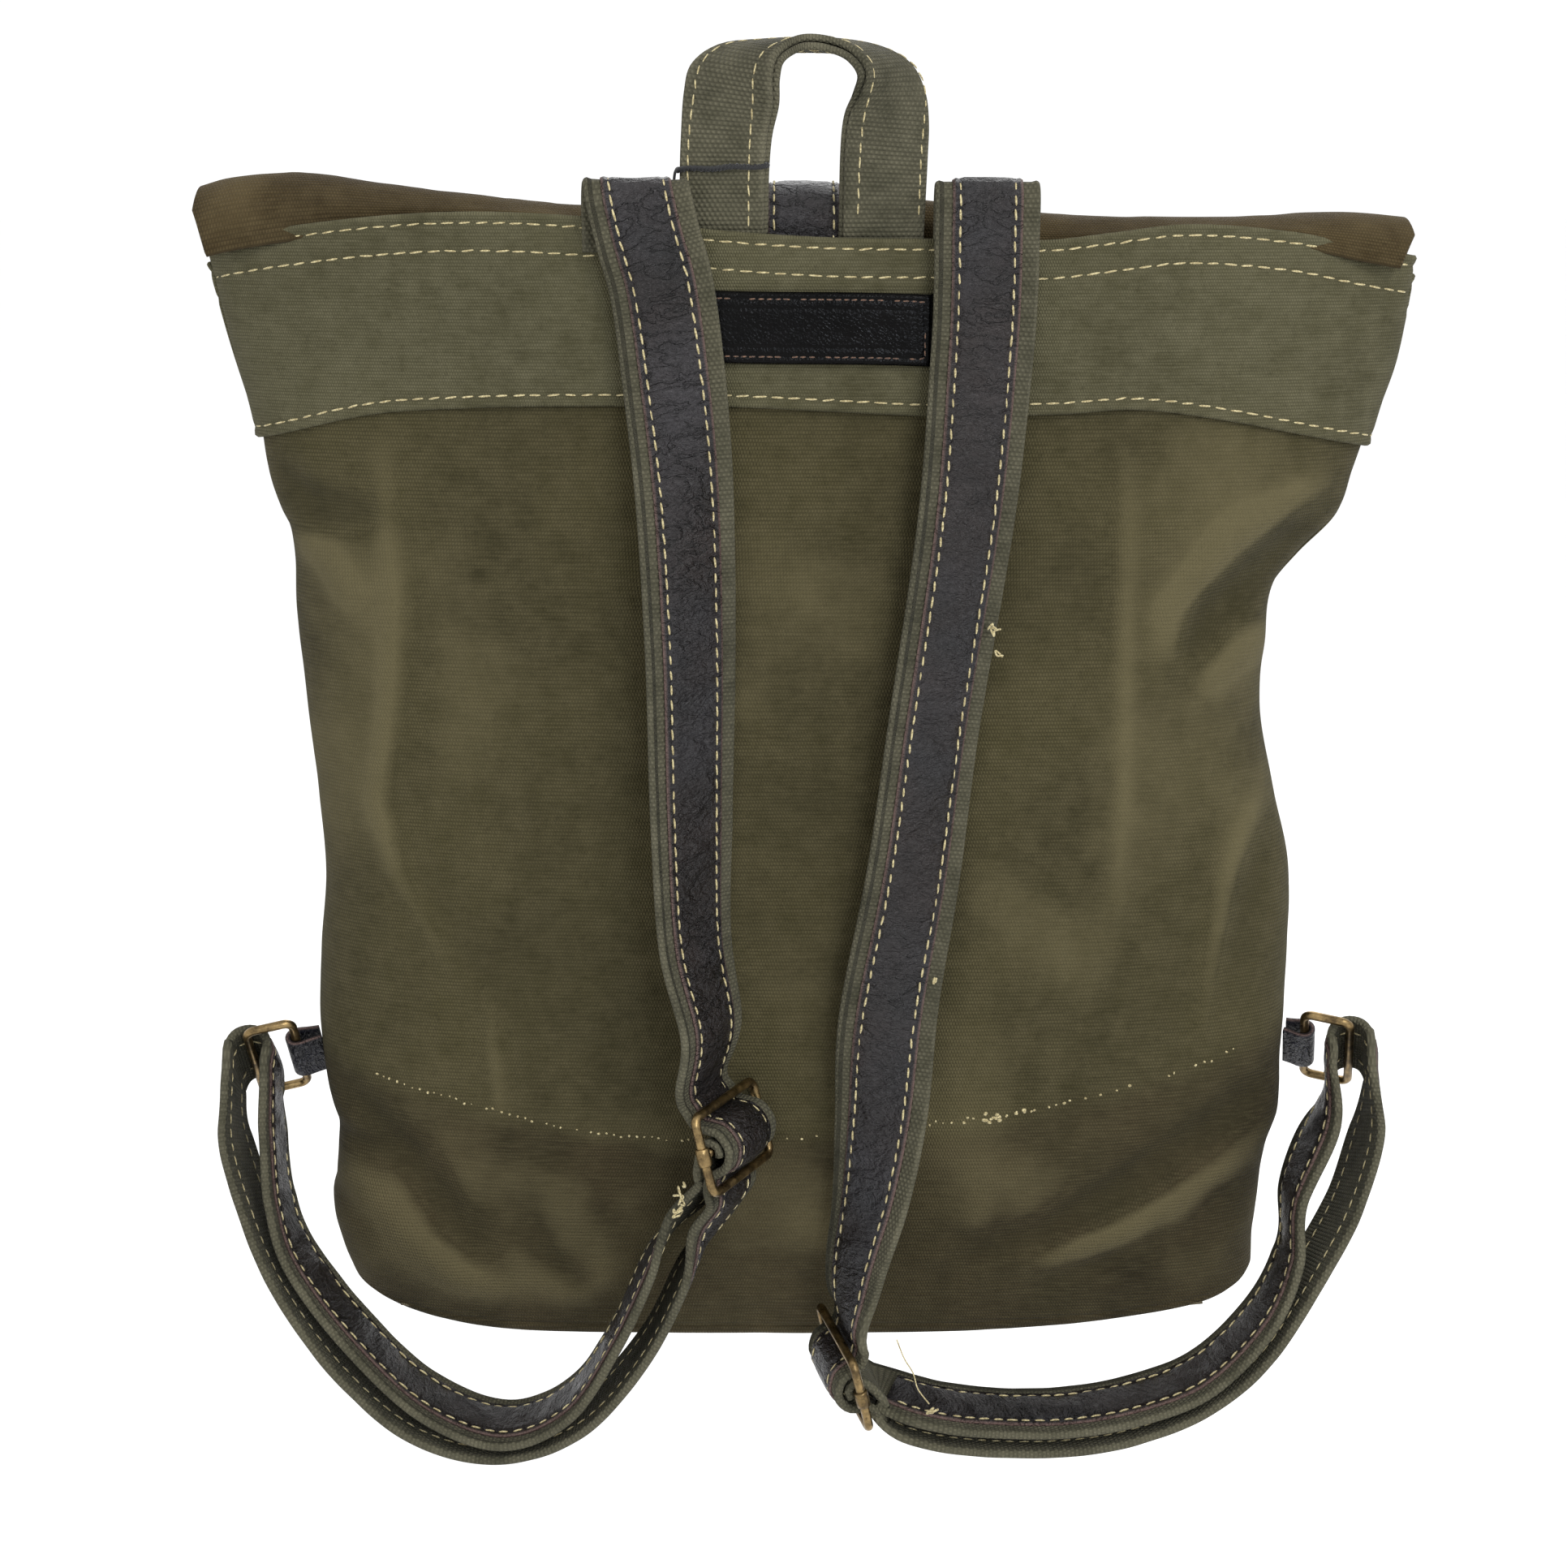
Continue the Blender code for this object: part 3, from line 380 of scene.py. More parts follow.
def stitches(name, rows, mat, skip=0.0):
    """All stitches of some rows as one piece. A row is points, outward normals, pitch,
    stitch length and thread radius."""
    shape, shape_faces = spun(STITCH_PROFILE, STITCH_SIDES)
    pts, faces = [], []
    count = 0
    for points, normals, pitch, length, radius in rows:
        run = lengths_along(points)
        total = int(run[-1] / pitch)
        for k in range(total):
            middle = (k + 0.5) * pitch + rng.normal(0, 0.12)
            spread = length * (1 + rng.normal(0, 0.06)) / 2
            tilt, drop = rng.normal(0.05, 0.05), rng.random()
            if drop < skip:
                continue
            ends = [np.array([np.interp(w, run, points[:, i]) for i in range(3)])
                    for w in (middle - spread, middle + spread)]
            n = np.array([np.interp(middle, run, normals[:, i]) for i in range(3)])
            centre, axis = (ends[0] + ends[1]) / 2, (ends[1] - ends[0]) / 2
            side = unit(np.cross(n, axis))
            axis = axis + side * np.linalg.norm(axis) * tilt
            up = unit(np.cross(axis, side))
            local = (centre + shape[:, :1] * axis + shape[:, 1:2] * side * radius * 1.12
                     + shape[:, 2:] * up * radius - up * radius * 0.55 * shape[:, :1] ** 2)
            pts.append(local)
            faces += [tuple(i + count for i in f) for f in shape_faces]
            count += len(shape)
    return make(name, np.concatenate(pts), faces, mat)


# ---- materials --------------------------------------------------------------------
class Look:
    """Small helper that wires up one procedural material."""

    def __init__(self, name, rough=0.8, metal=0.0):
        self.mat = bpy.data.materials.new(name)
        self.mat.use_nodes = True
        self.tree = self.mat.node_tree
        self.bsdf = self.tree.nodes["Principled BSDF"]
        self.bsdf.inputs["Roughness"].default_value = rough
        self.bsdf.inputs["Metallic"].default_value = metal

    def add(self, kind, inputs=(), **props):
        node = self.tree.nodes.new("ShaderNode" + kind)
        for key, value in props.items():
            setattr(node, key, value)
        for key, value in dict(inputs).items():
            self.feed(node.inputs[key], value)
        return node

    def feed(self, socket, value):
        if isinstance(value, bpy.types.NodeSocket):
            self.tree.links.new(value, socket)
        else:
            socket.default_value = value

    def maths(self, operation, a, b=0.0, c=0.0, clamp=False):
        node = self.add("Math", {0: a, 1: b, 2: c}, operation=operation)
        node.use_clamp = clamp
        return node.outputs[0]

    def coords(self):
        return self.add("TexCoord").outputs["Object"]

    def fabric_coords(self):
        """Along, across, and the painted fold shading and wear of the fabric."""
        vec = self.add("Attribute", attribute_name="cloth").outputs["Vector"]
        split = self.add("SeparateXYZ", {0: vec})
        return vec, split.outputs[0], split.outputs[1], split.outputs[2]

    def noise(self, scale, detail=3.0, rough=0.55, vector=None, distort=0.0):
        node = self.add("TexNoise", {"Scale": scale, "Detail": detail, "Roughness": rough,
                                     "Distortion": distort})
        self.feed(node.inputs["Vector"], vector or self.coords())
        return node.outputs["Fac"]

    def span(self, value, lo, hi, to_lo=0.0, to_hi=1.0):
        node = self.add("MapRange", {"Value": value, "From Min": lo, "From Max": hi,
                                     "To Min": to_lo, "To Max": to_hi})
        return node.outputs[0]

    def mix(self, fac, a, b, blend="MIX"):
        node = self.add("Mix", data_type="RGBA", blend_type=blend)
        self.feed(node.inputs[0], fac)
        for socket, value in ((node.inputs[6], a), (node.inputs[7], b)):
            self.feed(socket, value if isinstance(value, bpy.types.NodeSocket) else (*value, 1))
        return node.outputs[2]

    def bump(self, height, distance, strength=1.0, normal=None):
        node = self.add("Bump", {"Strength": strength, "Distance": distance, "Height": height})
        if normal is not None:
            self.feed(node.inputs["Normal"], normal)
        return node.outputs[0]

    def colour(self, value):
        self.feed(self.bsdf.inputs["Base Color"],
                  value if isinstance(value, bpy.types.NodeSocket) else (*value, 1))


def srgb(r, g, b):
    return tuple(((c / 255 + 0.055) / 1.055) ** 2.4 if c > 10 else c / 255 / 12.92
                 for c in (r, g, b))


def weave(look, pitch, cross):
    """Height of a plain duck weave: strong ribs across, finer threads along."""
    vec, along, across, shading_and_wear = look.fabric_coords()
    row = look.maths("MULTIPLY", along, 1 / pitch)
    step = look.maths("FLOOR", row)
    rib = look.maths("ABSOLUTE", look.maths("SINE", look.maths("MULTIPLY", row, math.pi)))
    col = look.maths("MULTIPLY_ADD", across, 1 / cross, look.maths("MULTIPLY", step, 0.5))
    thread = look.maths("SINE", look.maths("MULTIPLY", col, 2 * math.pi))
    height = look.maths("MULTIPLY", rib, look.maths("MULTIPLY_ADD", thread, 0.42, 0.58))
    return vec, shading_and_wear, height


def canvas(name, dark, mid, light, pitch=1.45, cross=1.15, low_zone=None, depth=1.0):
    look = Look(name, 0.88)
    vec, shading_and_wear, height = weave(look, pitch, cross)
    big = look.span(look.noise(11.0, 4.0, 0.6), 0.36, 0.66)
    small = look.span(look.noise(95.0, 4.0, 0.65), 0.3, 0.7)
    specks = look.span(look.noise(420.0, 3.0, 0.7), 0.55, 0.72)
    body = look.mix(big, dark, mid)
    body = look.mix(look.maths("MULTIPLY", small, 0.5), body, light)
    body = look.mix(look.maths("MULTIPLY", specks, 0.35), body, tuple(c * 0.55 for c in dark))
    if low_zone is not None:
        zone_dark, zone_light = low_zone
        lower = look.add("Attribute", attribute_name="raw").outputs["Fac"]
        patch = look.mix(look.span(look.noise(24.0, 5.0, 0.65), 0.35, 0.68),
                         zone_dark, zone_light)
        body = look.mix(look.maths("MULTIPLY", lower, 0.85), body, patch)
    slub = look.noise(1.0, 2.0, 0.6, look.add("Mapping", {"Vector": vec,
                      "Scale": (1.1, 0.09, 1.0)}).outputs[0])
    body = look.mix(look.span(slub, 0.42, 0.70, 0.0, 0.30), body, light)
    # painted shade in the hollows between the weave's threads
    body = look.mix(look.span(height, 0.0, 0.75, 0.55, 0.0), body,
                    tuple(c * 0.45 for c in dark))
    # painted highlight where the third channel is high and painted shade where it is low: on the
    # walls, flap, band and lining it follows fold and seam relief; on the straps it is edge wear
    # and random tone
    body = look.mix(look.span(shading_and_wear, 0.2, 1.6, 0.0, 0.45), body, tuple(c * 1.35 for c in light))
    body = look.mix(look.span(shading_and_wear, -0.3, -2.2, 0.0, 0.38), body, tuple(c * 0.6 for c in dark))
    look.colour(body)
    fuzz = look.noise(900.0, 2.0, 0.6)
    normal = look.bump(height, 0.00045 * depth, 0.85)
    normal = look.bump(fuzz, 0.00025, 0.5, normal)
    normal = look.bump(look.noise(210.0, 3.0, 0.6), 0.0008, 0.35, normal)
    look.feed(look.bsdf.inputs["Normal"], normal)
    look.bsdf.inputs["Sheen Weight"].default_value = 0.02
    look.bsdf.inputs["Sheen Roughness"].default_value = 0.5
    look.bsdf.inputs["Specular IOR Level"].default_value = 0.12
    return look.mat


def leather(name, dark, light, rough=0.36, raw=(0.16, 0.10, 0.085), grain=1300.0, crinkle=0.8,
            painted_sheen_tint=(0.034, 0.036, 0.044), shine=0.40):
    look = Look(name)
    vec = look.fabric_coords()[0]
    patch = look.span(look.noise(30.0, 4.0, 0.6), 0.35, 0.68)
    body = look.mix(patch, dark, light)
    # painted sheen: a bluish reflection colour mixed into the leather in patches
    painted_sheen_patches = look.span(look.noise(13.0, 3.0, 0.5), 0.45, 0.66)
    body = look.mix(look.maths("MULTIPLY", painted_sheen_patches, 0.35), body, painted_sheen_tint)
    cells = look.add("TexVoronoi", {"Scale": grain}, feature="DISTANCE_TO_EDGE")
    look.feed(cells.inputs["Vector"], look.coords())
    pores = look.span(cells.outputs["Distance"], 0.0, 0.30)
    warped = look.add("Mapping", {"Vector": vec, "Scale": (0.15, 0.075, 1.0),
                                  "Rotation": (0.0, 0.0, 0.5)}).outputs[0]
    folds = look.noise(1.0, 4.0, 0.58, warped, 0.5)
    sharp = look.maths("ABSOLUTE", look.maths("SUBTRACT", folds, 0.5))
    lines = look.span(sharp, 0.0, 0.035)
    fine = look.noise(1.0, 4.0, 0.6, look.add("Mapping", {"Vector": vec,
                      "Scale": (0.75, 0.38, 1.0), "Rotation": (0.0, 0.0, -0.4)}).outputs[0], 0.4)
    where = look.span(look.noise(9.0, 2.0, 0.5), 0.42, 0.60)
    # painted shade darkens the crease lines
    body = look.mix(look.maths("MULTIPLY", look.span(lines, 0.0, 1.0, 0.6, 0.0), where), body,
                    tuple(c * 0.35 for c in dark))
    cut = look.add("Attribute", attribute_name="raw").outputs["Fac"]
    body = look.mix(look.maths("MULTIPLY", cut, 0.85), body, raw)
    look.colour(body)
    rough_map = look.span(look.noise(40.0, 4.0, 0.6), 0.3, 0.7, rough - 0.08, rough + 0.14)
    look.feed(look.bsdf.inputs["Roughness"],
              look.maths("MULTIPLY_ADD", cut, 0.4, rough_map))
    normal = look.bump(look.maths("MULTIPLY", lines, where), 0.0010, crinkle)
    normal = look.bump(folds, 0.0080, crinkle, normal)
    normal = look.bump(fine, 0.0024, crinkle, normal)
    normal = look.bump(pores, 0.00012, 0.5, normal)
    look.feed(look.bsdf.inputs["Normal"], normal)
    look.bsdf.inputs["Specular IOR Level"].default_value = shine
    return look.mat


def brass(name="antique_brass"):
    look = Look(name, 0.34, 1.0)
    tone = look.span(look.noise(140.0, 5.0, 0.7), 0.38, 0.66)
    body = look.mix(tone, srgb(88, 74, 52), srgb(158, 134, 92))
    body = look.mix(look.span(look.noise(500.0, 3.0, 0.6), 0.55, 0.75, 0.0, 0.7), body,
                    srgb(52, 43, 34))
    look.colour(body)
    look.feed(look.bsdf.inputs["Roughness"],
              look.span(look.noise(260.0, 4.0, 0.6), 0.3, 0.7, 0.24, 0.5))
    look.feed(look.bsdf.inputs["Normal"],
              look.bump(look.noise(700.0, 3.0, 0.6), 0.0001, 0.5))
    return look.mat


def thread(name, colour, darker):
    look = Look(name, 0.7)
    strands = look.noise(1500.0, 2.0, 0.5)
    look.colour(look.mix(look.span(strands, 0.4, 0.65), darker, colour))
    look.feed(look.bsdf.inputs["Normal"], look.bump(strands, 0.0002, 0.6))
    look.bsdf.inputs["Sheen Weight"].default_value = 0.2
    return look.mat


def all_materials():
    olive = (srgb(53, 49, 30), srgb(70, 65, 41), srgb(92, 85, 61))
    green = (srgb(67, 64, 44), srgb(83, 80, 58), srgb(108, 104, 82))
    strap = (srgb(56, 55, 43), srgb(76, 74, 59), srgb(112, 108, 90))
    return {
        "body": canvas("canvas_brown", *olive,
                       low_zone=(srgb(36, 29, 18), srgb(72, 62, 43))),
        "flap": canvas("canvas_flap", srgb(50, 40, 22), srgb(70, 58, 35), srgb(92, 80, 55)),
        "band": canvas("canvas_green", *green, pitch=1.2, cross=1.0),
        "webbing": canvas("canvas_strap", *strap, pitch=1.6, cross=1.9, depth=1.7),
        "lining": canvas("lining_cotton", srgb(98, 90, 70), srgb(114, 105, 84),
                         srgb(128, 120, 100), pitch=0.8, cross=0.8),
        "leather": leather("leather_brown", srgb(14, 10, 10), srgb(32, 25, 24)),
        "tab": leather("leather_black", srgb(12, 12, 20), srgb(26, 27, 44), 0.36),
        "patch": leather("patch_leather", srgb(3, 3, 3), srgb(9, 8, 8), 0.22,
                         raw=(0.01, 0.008, 0.008), grain=700.0, crinkle=0.08,
                         painted_sheen_tint=(0.004, 0.004, 0.004), shine=0.07),
        "brass": brass(),
        "ivory": thread("thread_ivory", srgb(196, 184, 140), srgb(140, 126, 86)),
        "rust": thread("thread_rust", srgb(118, 84, 60), srgb(60, 42, 32)),
        "black": thread("thread_black", srgb(14, 15, 18), srgb(4, 4, 6)),
        "tape": canvas("zip_tape", srgb(30, 30, 25), srgb(38, 38, 31), srgb(48, 48, 40),
                       pitch=0.7, cross=0.6),
    }


# ---- the body's shape ---------------------------------------------------------------
RIM_Z, YOKE_FOOT, PANEL_FOOT = 446.0, 379.0, 24.0
FOLD_IN, FOLD_OUT = -4.4, 3.6  # how far folds may go, so that they stay clear of the lining
# height, back, front, squareness of the body's section, as in the CAD source
DEPTHS = np.array((
    (24.0, 3.0, 84.0, 4.2), (60.0, -4.0, 90.0, 3.8), (110.0, -8.0, 95.0, 3.4),
    (180.0, -9.0, 96.0, 3.2), (250.0, -9.0, 93.0, 3.0), (320.0, -7.0, 84.0, 2.8),
    (375.0, -4.0, 69.0, 2.5), (446.0, -2.0, 46.0, 2.2)))
LEFT_EDGE = ((24, 188), (36, 193), (49, 194.5), (61, 192), (83, 191.5), (100, 195), (130, 197),
             (160, 195.5), (191, 192), (225, 193), (262, 196), (300, 198.5), (322, 198),
             (334, 199), (345, 203), (360, 206.5), (383, 208.5), (414, 215), (446, 221))
RIGHT_EDGE = ((24, 188.5), (40, 188), (60, 189.5), (76, 191.5), (90, 196), (115, 196.5),
              (160, 197.5), (194, 196), (228, 187.5), (262, 181), (299, 182), (313, 185),
              (327, 194), (345, 207.5), (363, 212), (392, 218.5), (414, 223.5), (446, 226.5))
# height of the bottom edge along the back, from the left corner to the right one
BOTTOM_EDGE = ((-195, 25), (-184, 15), (-169, 8.5), (-148, 3.5), (-127, 1.0), (-96, 0.2),
               (0, 0.0), (60, 0.6), (110, 3.0), (140, 6.0), (168, 9.5), (182, 14), (192, 21))
BAND_TOP = ((-228, 436), (-214, 440), (-182, 445), (-148, 448.5), (-115, 449.5), (-74, 447.5),
            (-30, 443), (10, 440.5), (47, 440), (88, 439.5), (112, 442), (141, 445), (180, 442),
            (205, 437), (230, 432.5))
BAND_FOOT = ((-222, 364), (-205, 367), (-162, 377), (-125, 380), (-88, 381), (-30, 381),
             (15, 379), (48, 377.5), (95, 378), (123, 379.5), (155, 375.5), (190, 368.5),
             (225, 361))
FRONT_TOP = ((-226, 430), (-150, 438), (0, 437), (150, 433), (230, 426))
OLD_SEAM = ((-200, 121), (-175, 115), (-125, 103), (-93, 95), (-51, 91), (-12, 91), (45, 97),
            (76, 100), (110, 107), (163, 121), (200, 134))


def depths(z):
    return [curve_at(DEPTHS[:, (0, k)], z) for k in (1, 2, 3)]


def section(z_rows, front, count, inset):
    """Points along half of the body's section at each height, evenly spaced."""
    back, fore, square = depths(z_rows)
    left, right = curve_at(LEFT_EDGE, z_rows), curve_at(RIGHT_EDGE, z_rows)
    ang = np.pi * (1 - np.linspace(0, 1, 481))
    c, s = np.cos(ang), np.sin(ang)
    sign = 1.0 if front else -1.0
    out = np.empty((len(z_rows), count, 2))
    arc = np.empty((len(z_rows), count))
    for i in range(len(z_rows)):
        wide = np.where(c > 0, right[i], left[i]) - inset
        deep = (fore[i] - back[i]) / 2 - inset
        x = np.sign(c) * np.abs(c) ** (2 / square[i]) * wide
        y = (fore[i] + back[i]) / 2 + sign * np.abs(s) ** (2 / square[i]) * deep
        run = lengths_along(np.stack([x, y], axis=-1))
        want = np.linspace(0.0, run[-1], count)
        out[i, :, 0], out[i, :, 1] = np.interp(want, run, x), np.interp(want, run, y)
        arc[i] = want - run[-1] / 2
    return out, arc


def wall_y(x, z, proud, front=False):
    """Y of the body's back or front at a place, moved outward."""
    back, fore, square = depths(np.asarray(z, float))
    x = np.asarray(x, float)
    wide = np.where(x > 0, curve_at(RIGHT_EDGE, z), curve_at(LEFT_EDGE, z))
    u = np.minimum(np.abs(x) / wide, 0.999)
    lift = (fore - back) / 2 * (1 - u ** square) ** (1 / square)
    return (back + fore) / 2 + (lift + proud if front else -lift - proud)


LEFT_FOLD = ((-158, 375), (-157, 320), (-158, 277), (-166, 226), (-159, 199), (-138, 162),
             (-122, 140))
# path, width and height of each fold of the back, in the order they are laid on
BACK_FOLDS = (
    (((-124, 150), (-121, 118), (-119, 96)), 3.5, 0.9),
    (((119, 374), (122, 330), (122, 287), (123, 230), (121, 178)), 4.5, 1.1),
    (((-206, 352), (-186, 341), (-160, 339)), 8.0, -4.2),
    (((-200, 330), (-182, 322), (-168, 300)), 7.0, 2.2),
    (((200, 338), (176, 316), (158, 300), (146, 280)), 9.0, -5.0),
    (((205, 352), (186, 345), (160, 330), (138, 302), (140, 280)), 8.0, 2.6),
    (((186, 290), (166, 284), (150, 268)), 9.0, 2.2),
    (((178, 232), (166, 195), (161, 162), (158, 128)), 5.5, 1.8),
    (((188, 226), (178, 195), (172, 160)), 8.0, -1.6),
    # sagging folds above the base
    (((190, 112), (165, 92), (124, 64), (96, 48), (66, 42)), 8.5, -4.6),
    (((186, 84), (158, 66), (128, 46), (92, 34)), 8.5, 3.0),
    (((150, 52), (124, 36), (96, 24)), 6.0, -1.8),
    (((-188, 112), (-170, 92), (-150, 70), (-138, 50), (-124, 32)), 8.0, -3.4),
    (((-196, 86), (-174, 80), (-150, 82)), 5.5, -2.4),
    (((-190, 68), (-168, 54), (-148, 34), (-130, 18)), 8.0, 2.2),
    (((-118, 88), (-82, 80), (-44, 76)), 7.0, -1.5),
    (((-112, 60), (-104, 40), (-86, 22)), 8.0, -1.6),
)
BROAD_FOLDS = ((((-60, 300), (-30, 262), (18, 240)), 16.0, 0.9),
               (((60, 210), (92, 176), (120, 150)), 14.0, 1.0))
# the front's folds, the same on both sides
FRONT_FOLDS = ((((196, 345), (172, 328), (150, 300)), 9.0, -3.4),
               (((190, 120), (165, 96), (140, 66), (126, 40)), 9.0, -3.4),
               (((176, 300), (166, 220), (158, 150)), 6.0, 1.4))


def back_folds(x, z):
    """How far the back panel stands out from its plain shape."""
    d = 1.1 * ripple(x, z, 78.0, 3) + 0.5 * ripple(x, z, 31.0, 5) + 0.16 * ripple(x, z, 11.0, 8)
    d += crease(x, z, LEFT_FOLD, 5.0, 1.5) + crease(x - 11, z, LEFT_FOLD, 10.0, -1.0)
    for fold in BACK_FOLDS:
        d += crease(x, z, *fold)
    low = smoothstep(118.0, 40.0, z)
    d += low * (0.9 * ripple(x, z, 24.0, 21) + 0.35 * ripple(x, z, 9.0, 22))
    for fold in BROAD_FOLDS:
        d += crease(x, z, *fold)
    return d


def front_folds(x, z):
    """How far the front panel stands out from its plain shape."""
    d = 1.3 * ripple(x, z, 70.0, 43) + 0.5 * ripple(x, z, 28.0, 45) + 0.2 * ripple(x, z, 11.0, 48)
    for side in (-1, 1):
        for fold in FRONT_FOLDS:
            d += crease(x * side, z, *fold)
    low = smoothstep(110.0, 40.0, z)
    return d + low * 0.8 * ripple(x, z, 22.0, 51)


def wall_grid(front, shape_rows, top, foot, cols, inset):
    """Grid of the back or front wall. `top` and `foot` are its real upper and lower edges."""
    xy, arc = section(shape_rows, front, cols, inset)
    v = (shape_rows - shape_rows[0]) / (shape_rows[-1] - shape_rows[0])
    x = xy[..., 0]
    lo, hi = foot(x), top(x)
    plain = shape_rows[:, None] + np.zeros_like(x)
    lift_top = (hi - shape_rows[-1]) * smoothstep(0.45, 1.0, v)[:, None]
    lift_foot = (lo - shape_rows[0]) * smoothstep(0.30, 0.0, v)[:, None]
    z = plain + lift_top + lift_foot
    return np.stack([x, xy[..., 1], z], axis=-1), arc


def bottom_edge(x):
    return curve_at(BOTTOM_EDGE, x) + 5.0


CLOTH_THICK = 1.5


def build_walls(m):
    """Back and front canvas. Returns their outer grids."""
    rows, cols = np.linspace(PANEL_FOOT, RIM_Z, 212), 236
    across, up = np.linspace(0, 1, cols), np.linspace(0, 1, len(rows))
    ends = smoothstep(0.0, 0.06, across) * smoothstep(1.0, 0.94, across)
    foot_calm = 0.25 + 0.75 * smoothstep(0.0, 0.05, up)[:, None]
    built = []
    for front, name, node, folds, edge, drop in (
            (False, "canvas_back", "back_panel", back_folds, BAND_TOP, 5.0),
            (True, "canvas_front", "front_panel", front_folds, FRONT_TOP, 1.0)):
        grid, arc = wall_grid(front, rows, lambda x: curve_at(edge, x) - drop, bottom_edge, cols,
                              0.0)
        x, z = grid[..., 0], grid[..., 2]
        band_foot = curve_at(BAND_FOOT, x)
        quiet = smoothstep(band_foot + 6.0, band_foot - 14.0, z)
        d = folds(x, z) * quiet * ends[None, :] * foot_calm
        outward = toward(grid, 1, 1.0 if front else -1.0)
        grid = grid + grid_normals(grid) * outward * np.clip(d, FOLD_IN, FOLD_OUT)[..., None]
        # the fold height goes to the colour as painted highlight on ridges and painted shade in
        # hollows
        cloth = np.stack([z + 0 * arc, arc, d], axis=-1)
        obj = shell(name, grid, CLOTH_THICK, m["body"], cloth, outward)
        # how strongly each point takes the darker look below the old seam
        seam = curve_at(OLD_SEAM, x) + 2.5 * ripple(x, z, 18.0, 71)
        lower = smoothstep(seam + 3.0, seam - 9.0, z) * (0.75 + 0.25 * ripple(x, z, 26.0, 73))
        low = np.clip(lower, 0, 1).ravel()
        rim = np.zeros(len(obj.data.vertices) - 2 * low.size)
        layer = obj.data.attributes.new("raw", "FLOAT", "POINT")
        layer.data.foreach_set("value", np.concatenate([low, low, rim]).astype(np.float32))
        settle(obj, "bag", "canvas_brown", node)
        built.append(grid)
    return built


def build_base(m, walls):
    """The two lower edges turn under and run to the middle."""
    ring = np.concatenate([walls[0][0], walls[1][0][-2:0:-1]])
    middle = np.array((0.0, BASE_MIDDLE_Y, 0.0))
    rings = []
    for share, drop in ((1.0, 0.0), (0.996, 1.7), (0.986, 3.3), (0.965, 4.5), (0.93, 5.0)):
        p = middle + (ring - middle) * share
        p[:, 2] = ring[:, 2] - drop
        rings.append(p)
    inner = rings[-1]
    for share in np.linspace(0.94, 0.02, 26):
        p = middle + (inner - middle) * share
        fall = share ** 1.5
        p[:, 2] = inner[:, 2] * fall + 0.35 * ripple(p[:, 0], p[:, 1], 30.0, 81) * (1 - fall) + 0.4
        p[:, 2] = np.maximum(p[:, 2], 0.05)
        rings.append(p)
    grid = np.stack(rings)
    inside = grid.copy()
    inside[..., 2] += 1.6
    inside[:3] = middle + (grid[:3] - middle) * 0.992
    inside[:3, :, 2] = grid[:3, :, 2]
    out_i = wrapped(*grid.shape[:2])
    in_i = out_i + grid.shape[0] * grid.shape[1]
    brim = np.stack([out_i[0, :-1], out_i[0, 1:], in_i[0, 1:], in_i[0, :-1]], axis=-1)
    faces = np.concatenate([quads(out_i), quads(in_i), brim]).tolist()
    faces += [out_i[-1, :-1].tolist(), in_i[-1, :-1].tolist()]
    pts = np.concatenate([grid.reshape(-1, 3), inside.reshape(-1, 3)])
    cloth = np.stack([pts[:, 1] + pts[:, 2], pts[:, 0], np.zeros(len(pts))], axis=-1)
    base = make("canvas_base", pts, faces, m["body"], cloth, np.full(len(pts), 0.95))
    settle(base, "bag", "canvas_brown", "base_panel")


# ---- band round the rim -----------------------------------------------------------
BAND_SEAMS = ((3.0, True), (13.0, True), (3.4, False))  # distance, from the top or the foot


def build_bands(m):
    cols, rows = 260, np.linspace(YOKE_FOOT, RIM_Z, 48)
    for front, name, node, top in ((False, "band_back", "back_yoke", BAND_TOP),
                                   (True, "band_front", "front_yoke", FRONT_TOP)):
        xy, arc = section(rows, front, cols, -2.4)
        x = xy[..., 0]
        v = np.linspace(0, 1, len(rows))[:, None]
        z = curve_at(BAND_FOOT, x) * (1 - v) + curve_at(top, x) * v
        grid = np.stack([x, xy[..., 1], z], axis=-1)
        outward = toward(grid, 1, 1.0 if front else -1.0)
        below_top = curve_at(top, x) - z
        above_foot = z - curve_at(BAND_FOOT, x)
        d = 0.35 * ripple(x, z, 60.0, 31) + 0.12 * ripple(x, z, 17.0, 33)
        for want, from_top in BAND_SEAMS:
            d -= 0.45 * np.exp(-(((below_top if from_top else above_foot) - want) / 1.1) ** 2)
        d += 0.5 * smoothstep(3.0, 0.0, below_top) + 0.3 * smoothstep(3.0, 0.0, above_foot)
        near = [np.exp(-(((below_top if from_top else above_foot) - want) / 3.0) ** 2)
                for want, from_top in BAND_SEAMS]
        d += 0.14 * np.sin(arc * 2 * np.pi / 6.4) * (near[0] + near[1] + near[2])
        grid = grid + grid_normals(grid) * outward * d[..., None]
        # the relief goes to the colour: painted shade in the seam pinches, painted highlight on the
        # puffed edges
        cloth = np.stack([z, arc, d - 0.2], axis=-1)
        obj = shell(name, grid, 1.9, m["band"], cloth, outward)
        settle(obj, "bag", "canvas_green", node)
        normal = grid_normals(grid) * outward
        lines = []
        for want, from_top in BAND_SEAMS:
            # along each column, the place where the distance from the edge is right
            order = slice(None, None, -1 if from_top else 1)
            where = (below_top if from_top else above_foot)[order]
            pts, nrm = np.empty((cols, 3)), np.empty((cols, 3))
            for j in range(cols):
                for i in range(3):
                    pts[j, i] = np.interp(want, where[:, j], grid[order, j, i])
                    nrm[j, i] = np.interp(want, where[:, j], normal[order, j, i])
            lines.append((pts + nrm * 0.15, nrm, *BAND_GAUGE))
        settle(stitches(name + "_stitches", lines, m["ivory"]), "bag", "canvas_green")


